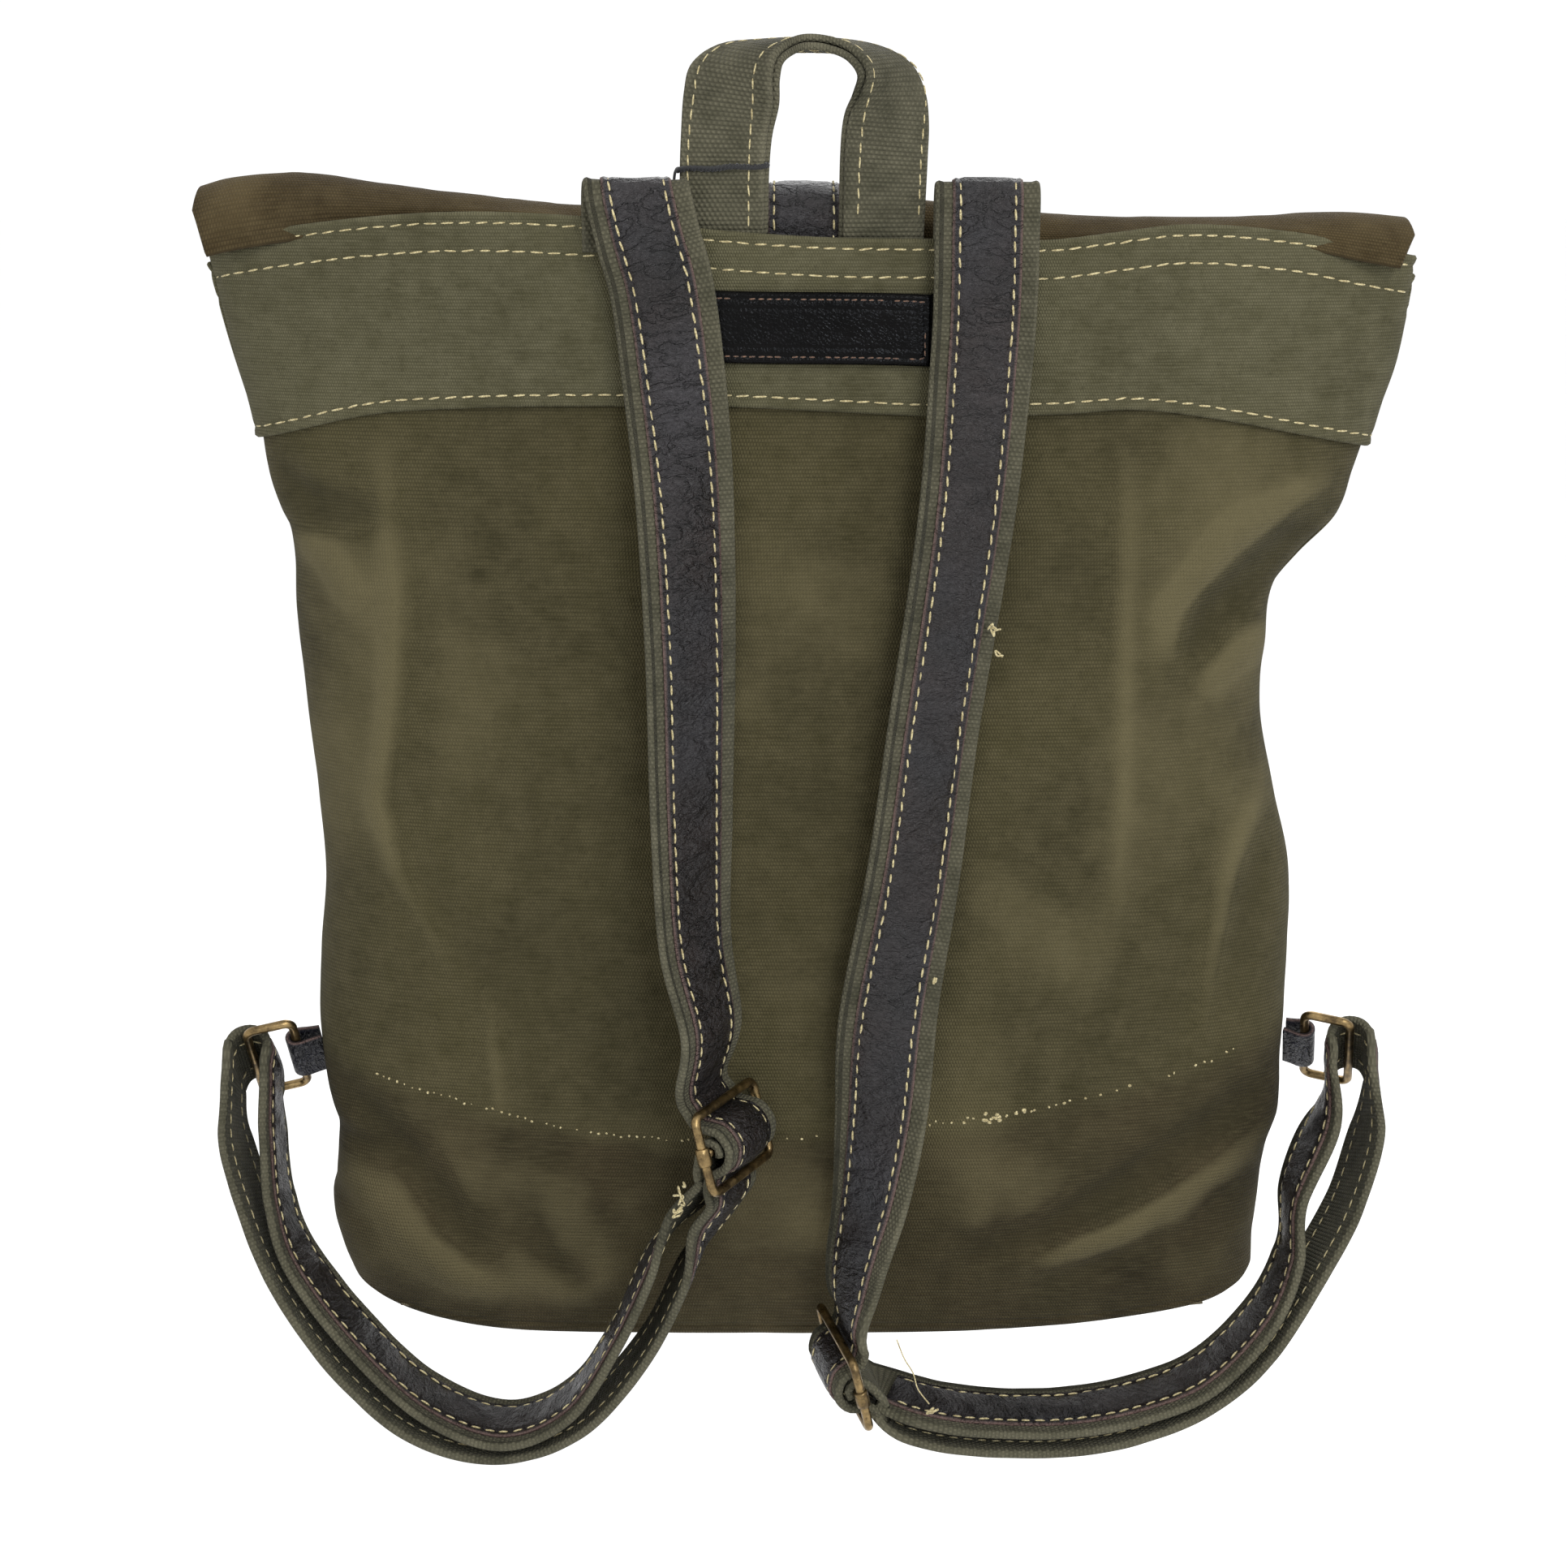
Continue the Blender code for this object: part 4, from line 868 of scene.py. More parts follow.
# ---- routes -----------------------------------------------------------------------
def spline(points, step):
    """Smooth curve through the points, read at about equal steps."""
    p = np.asarray(points, float)
    n = len(p)
    fine = []
    for i in range(n - 1):
        p1, p2 = p[i], p[i + 1]
        p0 = p[i - 1] if i else 2 * p1 - p2
        p3 = p[i + 2] if i + 2 < n else 2 * p2 - p1
        f = (np.arange(24) / 24.0)[:, None]
        fine.append(((p1 * 2) + (p2 - p0) * f + (p0 * 2 - p1 * 5 + p2 * 4 - p3) * f * f
                     + (p1 * 3 - p0 - p2 * 3 + p3) * f ** 3) * 0.5)
    fine = np.vstack(fine + [p[-1:]])
    run = lengths_along(fine[:, :3])
    want = np.linspace(0, run[-1], max(2, int(round(run[-1] / step))) + 1)
    return np.stack([np.interp(want, run, fine[:, k]) for k in range(p.shape[1])], axis=-1)


def track_of(route, step=1.7):
    """Place, along, wide and face arrays along a route of (x, y, z, wx, wy, wz)."""
    pts = spline(route, step)
    place = pts[:, :3]
    along = unit(np.gradient(place, axis=0))
    wide = pts[:, 3:] - along * (pts[:, 3:] * along).sum(axis=1, keepdims=True)
    wide = unit(wide)
    return place, along, wide, np.cross(along, wide)


def rounded_loop(half_u, half_v, radius, arc=7, side=4):
    """Corner-rounded rectangle in the plane, as (u, v) pairs."""
    corners = []
    for cu, cv, start in ((1, 1, 0), (-1, 1, 90), (-1, -1, 180), (1, -1, 270)):
        for k in range(arc + 1):
            t = math.radians(start + 90 * k / arc)
            corners.append((cu * (half_u - radius) + radius * math.cos(t),
                            cv * (half_v - radius) + radius * math.sin(t)))
    corners = np.array(corners)
    out = []
    for k in range(len(corners)):
        a, b = corners[k], corners[(k + 1) % len(corners)]
        parts = side if np.linalg.norm(b - a) > radius else 1
        out += [a + (b - a) * i / parts for i in range(parts)]
    return np.array(out)


# ---- handle -----------------------------------------------------------------------
HANDLE_WIDTH, HANDLE_THICK, HANDLE_Y, LEG_X = 30.5, 3.0, 1.1, -29.7
# the band's near edge and far edge, side by side, from the left foot to the right one
HANDLE_EDGES = (
    ((-15.0, 1.4, 436.0), (-45.4, 1.4, 436.0)),
    ((-14.5, 1.1, 448.0), (-45.2, 1.1, 448.0)),
    ((-14.2, 1.0, 464.0), (-45.2, 1.3, 464.0)),
    ((-13.2, -0.6, 477.0), (-44.5, 2.4, 478.5)),
    ((-10.9, -3.6, 488.0), (-43.2, 5.0, 492.5)),
    ((-10.9, -7.2, 497.0), (-40.2, 8.4, 502.0)),
    ((-9.4, -10.8, 503.6), (-31.0, 12.0, 507.2)),
    ((-5.0, -13.0, 507.6), (-15.5, 14.6, 508.6)),
    ((0.5, -13.9, 509.4), (0.0, 16.1, 509.2)),
    ((8.5, -13.4, 508.6), (14.0, 15.4, 508.6)),
    ((16.5, -11.4, 505.4), (27.5, 13.4, 506.2)),
    ((21.2, -7.6, 499.2), (38.0, 10.4, 501.0)),
    ((19.4, -3.8, 491.8), (43.2, 7.0, 492.5)),
    ((16.0, -0.8, 484.0), (45.0, 4.0, 482.0)),
    ((14.6, 0.8, 471.0), (44.8, 2.0, 469.0)),
    ((14.2, 1.1, 448.0), (44.0, 1.1, 448.0)),
    ((14.0, 1.4, 436.0), (43.6, 1.4, 436.0)),
)


def handle_track(step):
    """Middle, direction, width and face along the band, and its width there."""
    rows = spline([(*near, *far) for near, far in HANDLE_EDGES], step)
    near, far = rows[:, :3], rows[:, 3:]
    middle = (near + far) / 2
    along = unit(np.gradient(middle, axis=0))
    wide = near - far
    face = unit(np.cross(along, wide))
    return (middle, along, unit(wide), face), np.linalg.norm(wide, axis=1)


def webbing_section(half, thick, edge_extra, sides=7):
    """Closed outline of a folded strap: rounded, slightly fat edges, flat between."""
    flat = np.linspace(-(half - 3.2), half - 3.2, 13)
    r = thick / 2 + edge_extra
    top = [(w, thick / 2) for w in flat]
    bottom = [(w, -thick / 2) for w in flat[::-1]]
    right = [(half - r * 1.05 + r * 1.05 * math.cos(a), r * math.sin(a))
             for a in np.radians(np.linspace(78, -78, sides))]
    left = [(-w, -h) for w, h in right]
    return np.array(top + right + bottom + left)


def build_handle(m):
    track, width = handle_track(1.4)
    place, along, wide, face = track
    total = lengths_along(place)[-1]
    # which way the face vector points on a leg: the layer on the wearer's side comes first
    near_side = -1.0 if face[6][1] > 0 else 1.0
    for k, (lift, inset) in enumerate(((1.45 * near_side, 0.0), (-1.45 * near_side, 1.5))):
        shifted = (place + face * lift + wide * inset * 0.5, along, wide, face)
        sec = webbing_section(HANDLE_WIDTH / 2, 2.3, 0.30)

        def wave(s, w, k=k):
            return (0.22 * ripple(s, w, 12.0, 91 + k)
                    + crease(w, s, ((-14, 46), (0, 50), (12, 58)), 4.0, -0.7)
                    + crease(w, total - s, ((-12, 37), (2, 35), (14, 38)), 2.6, -0.9))
        layer = swept(f"haul_handle_layer_{k + 1}", shifted, sec, m["webbing"], wave,
                      lambda s, w: 0.5 * ripple(s, w, 12.0, 93) + 0.7 * (np.abs(w) > 14.2),
                      None, (width + inset) / HANDLE_WIDTH)
        settle(layer, "bag", "canvas_green", *(("haul_handle",) if k == 0 else ()))
    rows = []
    for w, lift in ((w, lift) for lift in (near_side, -near_side) for w in (9.6, -12.6)):
        pts = place + wide * w + face * lift * 2.7
        rows.append((pts[6:-6], (face * lift)[6:-6], *HANDLE_GAUGE))
    settle(stitches("haul_handle_stitches", rows, m["ivory"]), "bag", "canvas_green")


def build_tag_cord(m):
    """Two-strand twisted cord tied round the left leg, with its tail."""
    hw, ht = HANDLE_WIDTH / 2 + 0.9, HANDLE_THICK / 2 + 2.0
    u = rounded_loop(hw, ht, 1.9, 6, 20)
    base = np.stack([LEG_X + u[:, 0], HANDLE_Y + u[:, 1],
                     466.0 + 0.05 * u[:, 0] + 0.3 * np.sin(u[:, 0] * 0.4)], axis=-1)
    fine = spline(np.vstack([base, base[:1]]), 0.5)[:-1]
    lengths = np.arange(len(fine)) * 0.5
    turns = round(lengths[-1] / 2.6)
    phase = lengths / (lengths[-1] + 0.5) * turns * 2 * math.pi
    out = unit(fine - fine.mean(axis=0))
    up = np.array((0.0, 0.0, 1.0))
    for k in range(2):
        a = (phase + math.pi * k)[:, None]
        strand = fine + (out * np.cos(a) + up * np.sin(a)) * 0.55
        cord = tube(f"tag_cord_strand_{k + 1}", strand, 0.66, m["black"], True, 7)
        settle(cord, "bag", "tag_cord", *(("tag_cord",) if k == 0 else ()))
    left = LEG_X - hw
    tail = spline([(left + 1.0, -1.6, 465.6), (left - 0.6, -2.8, 465.0),
                   (left - 1.2, -2.8, 462.6), (left - 1.3, -2.9, 460.6)], 0.4)
    end = tube("tag_cord_tail", tail, 0.55, m["black"], False, 7)
    settle(end, "bag", "tag_cord")


# ---- flap -------------------------------------------------------------------------
FLAP_FOOT = 318.0
FLAP_SEAM_T = 1.35  # where the flap's top piece ends and its front piece starts
CREST = ((-226, 457), (-205, 461.5), (-181, 463), (-148, 459), (-117, 455.5), (-75, 452),
         (-30, 455), (0, 457.5), (30, 455), (90, 449), (154, 448), (200, 449), (228, 446))


def flap_point(x):
    """Knots of the flap's section at x: t is 0 at the rim, 1 at the crest, 2 at the fold and
    3 at the foot; with y and z at each t."""
    crest = curve_at(CREST, x)
    start_z = curve_at(BAND_TOP, x) - 4.0
    knots = [(0.0, 6.0, start_z), (0.35, 7.6, start_z * 0.45 + crest * 0.55),
             (1.0, 20.0, crest), (1.5, 42.0, crest - 3.2),
             (2.0, 63.0, crest - 12.5), (2.25, 68.0, crest - 28.0)]
    for k in range(1, 7):
        z = 420.0 - (420.0 - FLAP_FOOT) * k / 6
        knots.append((2.25 + 0.75 * k / 6,
                      np.maximum(wall_y(x * (1 - 0.14 * k / 6), z, 5.2, True), 64.0), z))
    ts = np.array([k[0] for k in knots])
    y, z = [np.stack([np.broadcast_to(k[i], np.shape(x)) for k in knots]) for i in (1, 2)]
    return ts, y, z


def flap_grid(xs, ts_want):
    """Grid of points over the flap between two values of t."""
    grid = np.empty((len(ts_want), len(xs), 3))
    for j, u in enumerate(xs):
        ts, y, z = flap_point(np.array(u * flap_half(0.0)))
        grid[:, j, 0] = [u * flap_half(t) for t in ts_want]
        grid[:, j, 1] = curve_at(np.stack([ts, y], axis=-1), ts_want)
        grid[:, j, 2] = curve_at(np.stack([ts, z], axis=-1), ts_want)
    return grid


def flap_half(t):
    """Half width of the flap: full at the top, a little narrower toward its foot."""
    return float(np.interp(t, (0.0, 0.5, 2.0, 3.0), (220.0, 225.0, 222.0, 194.0)))


def flap_bends():
    """What the flap's top piece and its front piece would bend between, and where; nothing here
    bends them.
    """
    return (("bag", "flap", world_point((0, 4.0, 448)), world_point((0, 20.0, 452))),
            ("flap", "flap_front", world_point((0, 54.0, 452)), world_point((0, 66.0, 436))))


def build_flap(m):
    xs = np.linspace(-1, 1, 200)
    at_top, at_front = flap_bends()
    specs = (("flap_cloth_top", np.linspace(0.0, FLAP_SEAM_T, 44), "flap_top", at_top, 2),
             ("flap_cloth_front", np.linspace(FLAP_SEAM_T, 3.0, 150), "flap_front", at_front, 1))
    for name, ts, node, bend, axis in specs:
        grid = flap_grid(xs, ts)
        x, t = grid[..., 0], np.broadcast_to(ts[:, None], grid.shape[:2])
        run = np.broadcast_to(lengths_along(grid[:, 100])[:, None], grid.shape[:2])
        d = 1.0 * ripple(x, run, 52.0, 61) + 0.55 * ripple(x, run, 21.0, 63) \
            + 0.25 * ripple(x, run, 8.0, 64)
        d += crease(x, run, ((-215, 55), (-170, 62), (-120, 50), (-80, 44)), 5.0, -1.6)
        d += crease(x, run, ((-200, 40), (-172, 48), (-150, 66)), 4.5, 1.6)
        d += crease(x, run, ((215, 50), (160, 60), (110, 48)), 5.0, -1.4)
        calm = 1 - 0.8 * np.exp(-(x / 22.0) ** 2)
        d = np.clip(d * calm, -2.0, 2.2)
        outward = toward(grid, axis, 1.0)
        d = d * smoothstep(0.0, 0.25, t)
        grid = grid + grid_normals(grid) * outward * d[..., None]
        # the fold height goes to the colour as painted highlight on ridges and painted shade in
        # hollows
        cloth = np.stack([run, x, d], axis=-1)
        obj = shell(name, grid, 1.5, m["flap"], cloth, outward)
        settle(obj, bend, "canvas_brown", node)
    # hem stitches, on the front piece
    normal = grid_normals(grid) * outward
    rows = [(grid[-5] + normal[-5] * 0.2, normal[-5], *HEM_GAUGE)]
    lo = np.searchsorted(ts, 1.9)
    for j in (4, -5):
        rows.append((grid[lo:-5, j] + normal[lo:-5, j] * 0.2, normal[lo:-5, j], *HEM_GAUGE))
    settle(stitches("flap_hem_stitches", rows, m["ivory"]), at_front, "canvas_brown")


def strap_from_grid(ts, lift):
    """Track down the middle of the flap's surface."""
    grid = flap_grid(np.array((-0.06, 0.0, 0.06)), ts)
    normal = grid_normals(grid)
    sign = 1.0 if normal[len(ts) // 3, 1, 2] > 0 else -1.0
    normal = normal[:, 1] * sign
    place = grid[:, 1] + normal * lift
    along = unit(np.gradient(place, axis=0))
    wide = np.broadcast_to(np.array((1.0, 0.0, 0.0)), place.shape)
    face = np.cross(along, wide)
    if (face * normal).sum() < 0:
        face = -face
    return place, along, wide, face


def leather_section(half, thick, seat, stitch_at=None):
    """Flat leather strip: bottom at `seat`, puffed top pinched at its stitch rows."""
    ws = np.linspace(-half, half, 25)
    body = 1 - 0.35 * np.exp(-((np.abs(ws) - (stitch_at or 99)) / 1.0) ** 2)
    puff = 0.45 * np.cos(ws / half * math.pi / 2) ** 0.7 if stitch_at else 0.2
    top = [(w, seat + thick * b + p) for w, b, p in
           zip(ws, body, np.broadcast_to(puff, ws.shape))]
    top[0] = (ws[0] - 0.15, seat + thick * 0.55)
    top[-1] = (ws[-1] + 0.15, seat + thick * 0.55)
    bottom = [(w, seat) for w in ws[::-4]]
    return np.array(top + bottom)


CLOSURE_HALF, BUCKLE_Z, BILLET_FOOT, KEEPER_Z = 13.4, 322.0, 274.0, 296.0


def build_closure_strap(m):
    at_top, at_front = flap_bends()
    for name, ts, node, bend in (
            ("closure_strap_upper", np.linspace(0.0, FLAP_SEAM_T, 50), "closure_strap_top", at_top),
            ("closure_strap_lower", np.linspace(FLAP_SEAM_T, 2.92, 110), "closure_strap_front",
             at_front)):
        track = strap_from_grid(ts, 0.6)
        obj = swept(name, track, leather_section(CLOSURE_HALF, 1.9, 0.2, 11.0), m["leather"],
                    lambda s, w: 0.2 * ripple(s, w, 6.0, 101), None, CLOSURE_HALF - 0.3)
        settle(obj, bend, "leather_brown", node)
        place, _, wide, face = track
        rows = [(place + wide * w + face * 2.35, face, *CLOSURE_GAUGE) for w in (-11.0, 11.0)]
        settle(stitches(name + "_stitches", rows, m["ivory"]), bend, "leather_brown")


def build_buckle(m):
    z = BUCKLE_Z
    y = float(wall_y(0.0, z, 13.6, True))
    loop = rounded_loop(20.0, 14.0, 4.0, 8, 4)
    ring = tube("buckle_frame_wire", np.stack([loop[:, 0], np.full(len(loop), y),
                                               z + loop[:, 1]], axis=-1), 1.9, m["brass"], True)
    settle(ring, "flap_front", "antique_brass", "buckle_frame")
    bar = tube("buckle_bar_wire", [(x, y, z) for x in (-18.4, -6, 6, 18.4)], 1.5, m["brass"])
    settle(bar, "flap_front", "antique_brass", "buckle_bar")
    prong = [(0.0, y + 2.8 * math.sin(t), z + 2.8 * math.cos(t))
             for t in np.radians(np.arange(-150, 91, 12))]
    prong += [(0.0, y + 3.4, z - 4.0), (0.0, y + 3.9, z - 9.0), (0.0, y + 3.9, z - 15.6)]
    pin = tube("buckle_prong_wire", prong, np.linspace(1.15, 0.9, len(prong)), m["brass"])
    settle(pin, "prong", "antique_brass", "buckle_prong")


def build_billet(m):
    """End of the closure strap with its rounded tip, and the keeper it passes under."""
    route = [(0.0, float(wall_y(0.0, z, 7.6, True)), z, 1, 0, 0)
             for z in np.linspace(BUCKLE_Z + 11, BILLET_FOOT, 9)]
    place, _, wide, face = track_of(route, 1.2)
    if face[0][1] < 0:
        face = -face
    run = lengths_along(place)
    left = run[-1] - run
    shape = np.where(left < 11.0, np.sqrt(np.clip(1 - ((11.0 - left) / 11.0) ** 2, 0.01, 1)), 1.0)
    sec = leather_section(12.2, 1.9, -0.6, 9.8)
    pts = place[:, None] + wide[:, None] * sec[:, 0][None, :, None] * shape[:, None, None] \
        + face[:, None] * sec[None, :, 1:2]
    n, k = len(place), len(sec)
    cloth = np.stack([np.repeat(run, k), np.tile(sec[:, 0], n), np.zeros(n * k)], axis=-1)
    billet = make("closure_billet_leather", pts.reshape(-1, 3), capped(n, k), m["leather"], cloth,
                  np.tile(np.abs(sec[:, 0]) > 11.9, n).astype(float))
    settle(billet, "flap_front", "leather_brown", "closure_billet")
    rows = [((place + wide * w + face * 1.75)[2:-9], face[2:-9], *BILLET_GAUGE)
            for w in (-9.8, 9.8)]
    settle(stitches("closure_billet_stitches", rows, m["ivory"]), "flap_front", "leather_brown")

    centre = np.array((0.0, float(wall_y(0.0, KEEPER_Z, 8.4, True)), KEEPER_Z))
    loop = rounded_loop(14.6, 3.4, 2.2, 5, 8)
    pts = np.stack([loop[:, 0], centre[1] + loop[:, 1], np.full(len(loop), KEEPER_Z)], axis=-1)
    ring_out = unit((pts - centre) * np.array((0.2, 1.0, 0.0)))
    grid = np.stack([pts + ring_out * dr + np.array((0, 0, dz)) for dz, dr in
                     ((-4.0, 0.0), (-4.3, 0.6), (-4.0, 1.3), (0.0, 1.5), (4.0, 1.3), (4.3, 0.6),
                      (4.0, 0.0), (0.0, -0.05))])
    flat = grid.reshape(-1, 3)
    keeper = make("closure_keeper", flat, quads(wrapped(*grid.shape[:2], True)), m["leather"],
                  np.stack([flat[:, 2], flat[:, 0], 0 * flat[:, 0]], axis=-1),
                  np.zeros(len(flat)))
    settle(keeper, "flap_front", "leather_brown")


def box_mm(node):
    """Lowest and highest corners of a CAD node, in this script's millimetres."""
    return [np.array(c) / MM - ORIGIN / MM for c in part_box(node)]


def build_snap(m):
    """Press stud under the billet: round halves whose axis is Y."""
    for node, name, body in (("snap_socket", "snap_socket_turned", "bag"),
                             ("snap_stud", "snap_stud_turned", "flap_front")):
        lo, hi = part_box(node)
        c = (np.array(lo) + np.array(hi)) / 2 / MM - ORIGIN / MM
        r = (hi.x - lo.x) / 2 / MM
        t = (hi.y - lo.y) / 2 / MM
        profile = ((t * 0.6, 0.0), (t * 0.7, r * 0.35), (t, r * 0.5), (t, r * 0.8),
                   (t * 0.3, r), (-t * 0.6, r), (-t, r * 0.8), (-t, 0.0))
        pts, faces = spun(profile, 32)
        settle(make(name, c + pts[:, (1, 0, 2)], faces, m["brass"]), body, "antique_brass", node)


# ---- label ------------------------------------------------------------------------
LABEL_HALF, LABEL_HIGH, LABEL_Z, LABEL_SEAM = 47.0, 26.0, 396.0, 2.6


def label_height(u, v):
    return LABEL_Z + v - 0.03 * u + 0.5 * np.sin(u / 21.0)


def build_label(m):
    """Blank patch with a pressed border and a row of stitches."""
    u, v = np.meshgrid(np.linspace(-LABEL_HALF, LABEL_HALF, 120), np.linspace(0, LABEL_HIGH, 48))
    z = label_height(u, v)
    edge = np.minimum(LABEL_HALF - np.abs(u), np.minimum(v, LABEL_HIGH - v))
    d = 0.9 * smoothstep(0.0, 1.2, edge) - 0.35 * np.exp(-((edge - LABEL_SEAM) / 0.6) ** 2) \
        + 0.12 * ripple(u, z, 9.0, 111) - 0.22 * np.exp(-((edge - 6.0) / 0.45) ** 2)
    grid = np.stack([u, wall_y(u, z, 4.1) - d, z], axis=-1)
    panel("label_patch_leather", grid, 1.2, m["patch"], np.stack([v, u, d * 0], axis=-1),
          1, -1.0, "patch_leather", "label_patch")
    half_high = LABEL_HIGH / 2
    seam = rounded_loop(LABEL_HALF - LABEL_SEAM, half_high - LABEL_SEAM, 0.8, 3, 30)
    x, z = seam[:, 0], label_height(seam[:, 0], seam[:, 1] + half_high)
    pts = np.stack([x, wall_y(x, z, 4.1) - 0.75, z], axis=-1)
    pts = np.vstack([pts, pts[:1]])
    nrm = np.broadcast_to(np.array((0.0, -1.0, 0.0)), pts.shape)
    sewn = stitches("label_patch_stitches", [(pts, nrm, *LABEL_GAUGE)], m["rust"], 0.12)
    settle(sewn, "bag", "patch_leather")


# ---- shoulder straps --------------------------------------------------------------
def in_slide(slide, along, out):
    return slide["at"] + slide["down"] * along + slide["out"] * out


def harness(side):
    """Everything one strap needs, worked out for its side (-1 left, 1 right)."""
    if side < 0:
        upper = ((-62, -2.9, 436, 1, 0, 0), (-62, -2.9, 448, 1, 0, 0),
                 (-62, -2.9, 455, 1, 0, 0),
                 (-61, -7.6, 460.2, 1, 0, 0), (-59.5, -12.4, 455, 1, 0, 0),
                 (-56, -11.8, 440, 1, 0, 0), (-52, -11.6, 425, 1, 0.02, 0),
                 (-48.5, -12.5, 400, 1, 0.05, 0),
                 (-44, -18.5, 352, 1, 0.35, 0), (-42, -23, 292, 1, 0.60, 0),
                 (-42, -25.5, 230, 1, 0.80, 0), (-41, -28, 180, 1, 1.1, 0),
                 (-35, -31, 146, 1, 1.5, 0))
        slide = {"at": (-27.0, -34.0, 103.0), "down": (0.25, -0.13, -1.0),
                 "wide": (0.47, 0.88, -0.05)}
        outer = ((-36, 66, -32), (-46, 46, -32), (-63, 12, -32), (-88, -17, -31),
                 (-120, -28.5, -30), (-154, -21, -27), (-184, 3, -20), (-208, 34, -10),
                 (-222, 62, 2), (-230, 85, 13))
        inner = ((-214.5, 86, 13), (-211, 62, 2), (-202, 40, -7),
                 (-179, 13, -18), (-150, -12, -26), (-119, -22.5, -30), (-92, -10.5, -31),
                 (-73, 19, -32), (-59, 50, -32), (-46, 71, -31.5))
        leave = (23.0, -7.8)
        ring_at, tab_at = (-224.0, 30.0, 109.0), (-199.5, 44.0, 102.0)
    else:
        upper = ((66, -2.9, 436, 1, 0, 0), (66, -2.9, 448, 1, 0, 0), (66, -2.9, 455, 1, 0, 0),
                 (66, -7.6, 460.2, 1, 0, 0), (66, -12.4, 455, 1, 0, 0),
                 (66, -11.8, 440, 1, 0, 0), (66, -11.6, 425, 1, 0.02, 0),
                 (65, -12.5, 400, 1, 0.1, 0),
                 (60, -17, 340, 1, 0.3, 0.0), (49, -20, 262, 1, 0.4, 0.1),
                 (42, -22, 205, 1, 0.3, 0.1), (33, -24.5, 150, 1, 0.05, 0.1),
                 (30, -28, 108, 1, -0.45, 0), (26, -31.5, 76, 1, -0.95, 0),
                 (20.5, -34.5, 49, 1, -1.6, 0))
        slide = {"at": (16.5, -37.0, 7.0), "down": (0.22, 0.16, -1.0),
                 "wide": (0.28, -0.93, -0.14)}
        outer = ((41, -16, -36), (68, -22, -35), (102, -23.5, -33), (131, -20, -30),
                 (160, -10, -25), (184, 8, -18), (204, 36, -9), (220, 62, 2),
                 (229.5, 88, 14))
        inner = ((211.0, 90, 14), (199, 64, 3), (196, 40, -6),
                 (184, 17, -14), (160, -3.5, -23), (131, -12.5, -29), (102, -16, -32),
                 (72, -14.5, -34), (48, -9.5, -36))
        leave = (19.5, -8.9)
        ring_at, tab_at = (224.0, 30.0, 113.0), (203.5, 44.0, 108.0)
    slide = {k: np.array(v, float) for k, v in slide.items()}
    slide["down"] = unit(slide["down"])
    slide["wide"] = unit(slide["wide"] - slide["down"] * slide["wide"].dot(slide["down"]))
    slide["out"] = np.cross(slide["down"], slide["wide"])
    bar = unit(np.array((0.15 if side > 0 else 0.0, 0.62, -0.78)))
    return {"upper": upper, "slide": slide, "outer": outer, "inner": inner,
            "ring": np.array(ring_at), "tab": np.array(tab_at), "bar": bar, "side": side,
            "leave": leave}


def strap_route(h):
    """Whole strap: rim, shoulder length, slide, lower loop, ring, and back."""
    side, slide = h["side"], h["slide"]
    wide = tuple(slide["wide"])
    route = list(h["upper"])
    for along, out in ((-23, -7.6), (-15.2, -6.3), (-10.4, -3.9), (-8.6, 0.6), (-6.4, 5.2),
                       (0, 7.9), (6.4, 5.2), (8.6, 0.6), (10.4, -3.9), (15.2, -6.3),
                       h["leave"]):
        route.append((*in_slide(slide, along, out), *wide))
    depth = (0.0, float(-side), 0.0) if side > 0 else (0.0, 1.0, 0.0)
    bar = tuple(h["bar"] * (-1.0 if side > 0 else 1.0))
    for k, (x, z, y) in enumerate(h["outer"]):
        route.append((x, y, z, *(wide if k == 0 else depth)))
    c = h["ring"]
    lead = np.array((1.0, 0.0, 0.0)) * side
    lead = lead - h["bar"] * lead.dot(h["bar"])
    up = np.array((0.0, 0.78, 0.62))
    for across, rise in ((7.6, -9.0), (7.8, -2.0), (5.4, 3.4), (0.0, 5.4),
                         (-5.4, 3.4), (-7.8, -2.0), (-7.6, -9.0)):
        route.append((*(c + lead * across + up * rise), *bar))
    for k, (x, z, y) in enumerate(h["inner"]):
        route.append((x, y, z, *(wide if k == len(h["inner"]) - 1 else depth)))
    for along, out in ((14.0, -11.0), (7.0, -8.4), (0.6, -5.2), (-3.0, -2.2),
                       (-3.4, 1.2), (-1.2, 3.5), (2.2, 3.2)):
        route.append((*in_slide(slide, along, out), *wide))
    return route


STRAP_WIDTH, WIRE = 38.0, 3.6
SLIDE_HALF_WIDE, SLIDE_HALF_HIGH, RING_DEPTH, RING_LENGTH = 25.0, 17.0, 22.0, 50.0
WIRE_CORNER = 3.6
STRAP_BEND = ((0, 0, 452), (0, 0, 340))  # the heights between which the strap would bend as it swings; nothing here bends it
# place, spread and turns of the thread knots on each strap
KNOTS = {
    "left": (((-46.6, -50.5, 84.8), 1.5, 12), ((-48.4, -50.5, 79.0), 1.2, 9),
             ((-45.0, -50.5, 90.0), 1.0, 6)),
    "right": (((50.0, -56.5, -2.0), 1.2, 9), ((70.5, -25.5, 300.4), 1.3, 8),
              ((72.8, -25.5, 291.2), 0.9, 5), ((49.8, -28.5, 165.1), 0.8, 5)),
}
LOOSE_THREAD = ((36.1, -56.5, 28.4), (39.0, -57.5, 21.0), (42.5, -57.0, 14.6), (44.5, -57.5, 8.0),
                (49.0, -56.0, 0.8))
LEATHER_HALF, STITCH_AT = 12.5, 9.9
LEATHER_STOP = 34.0


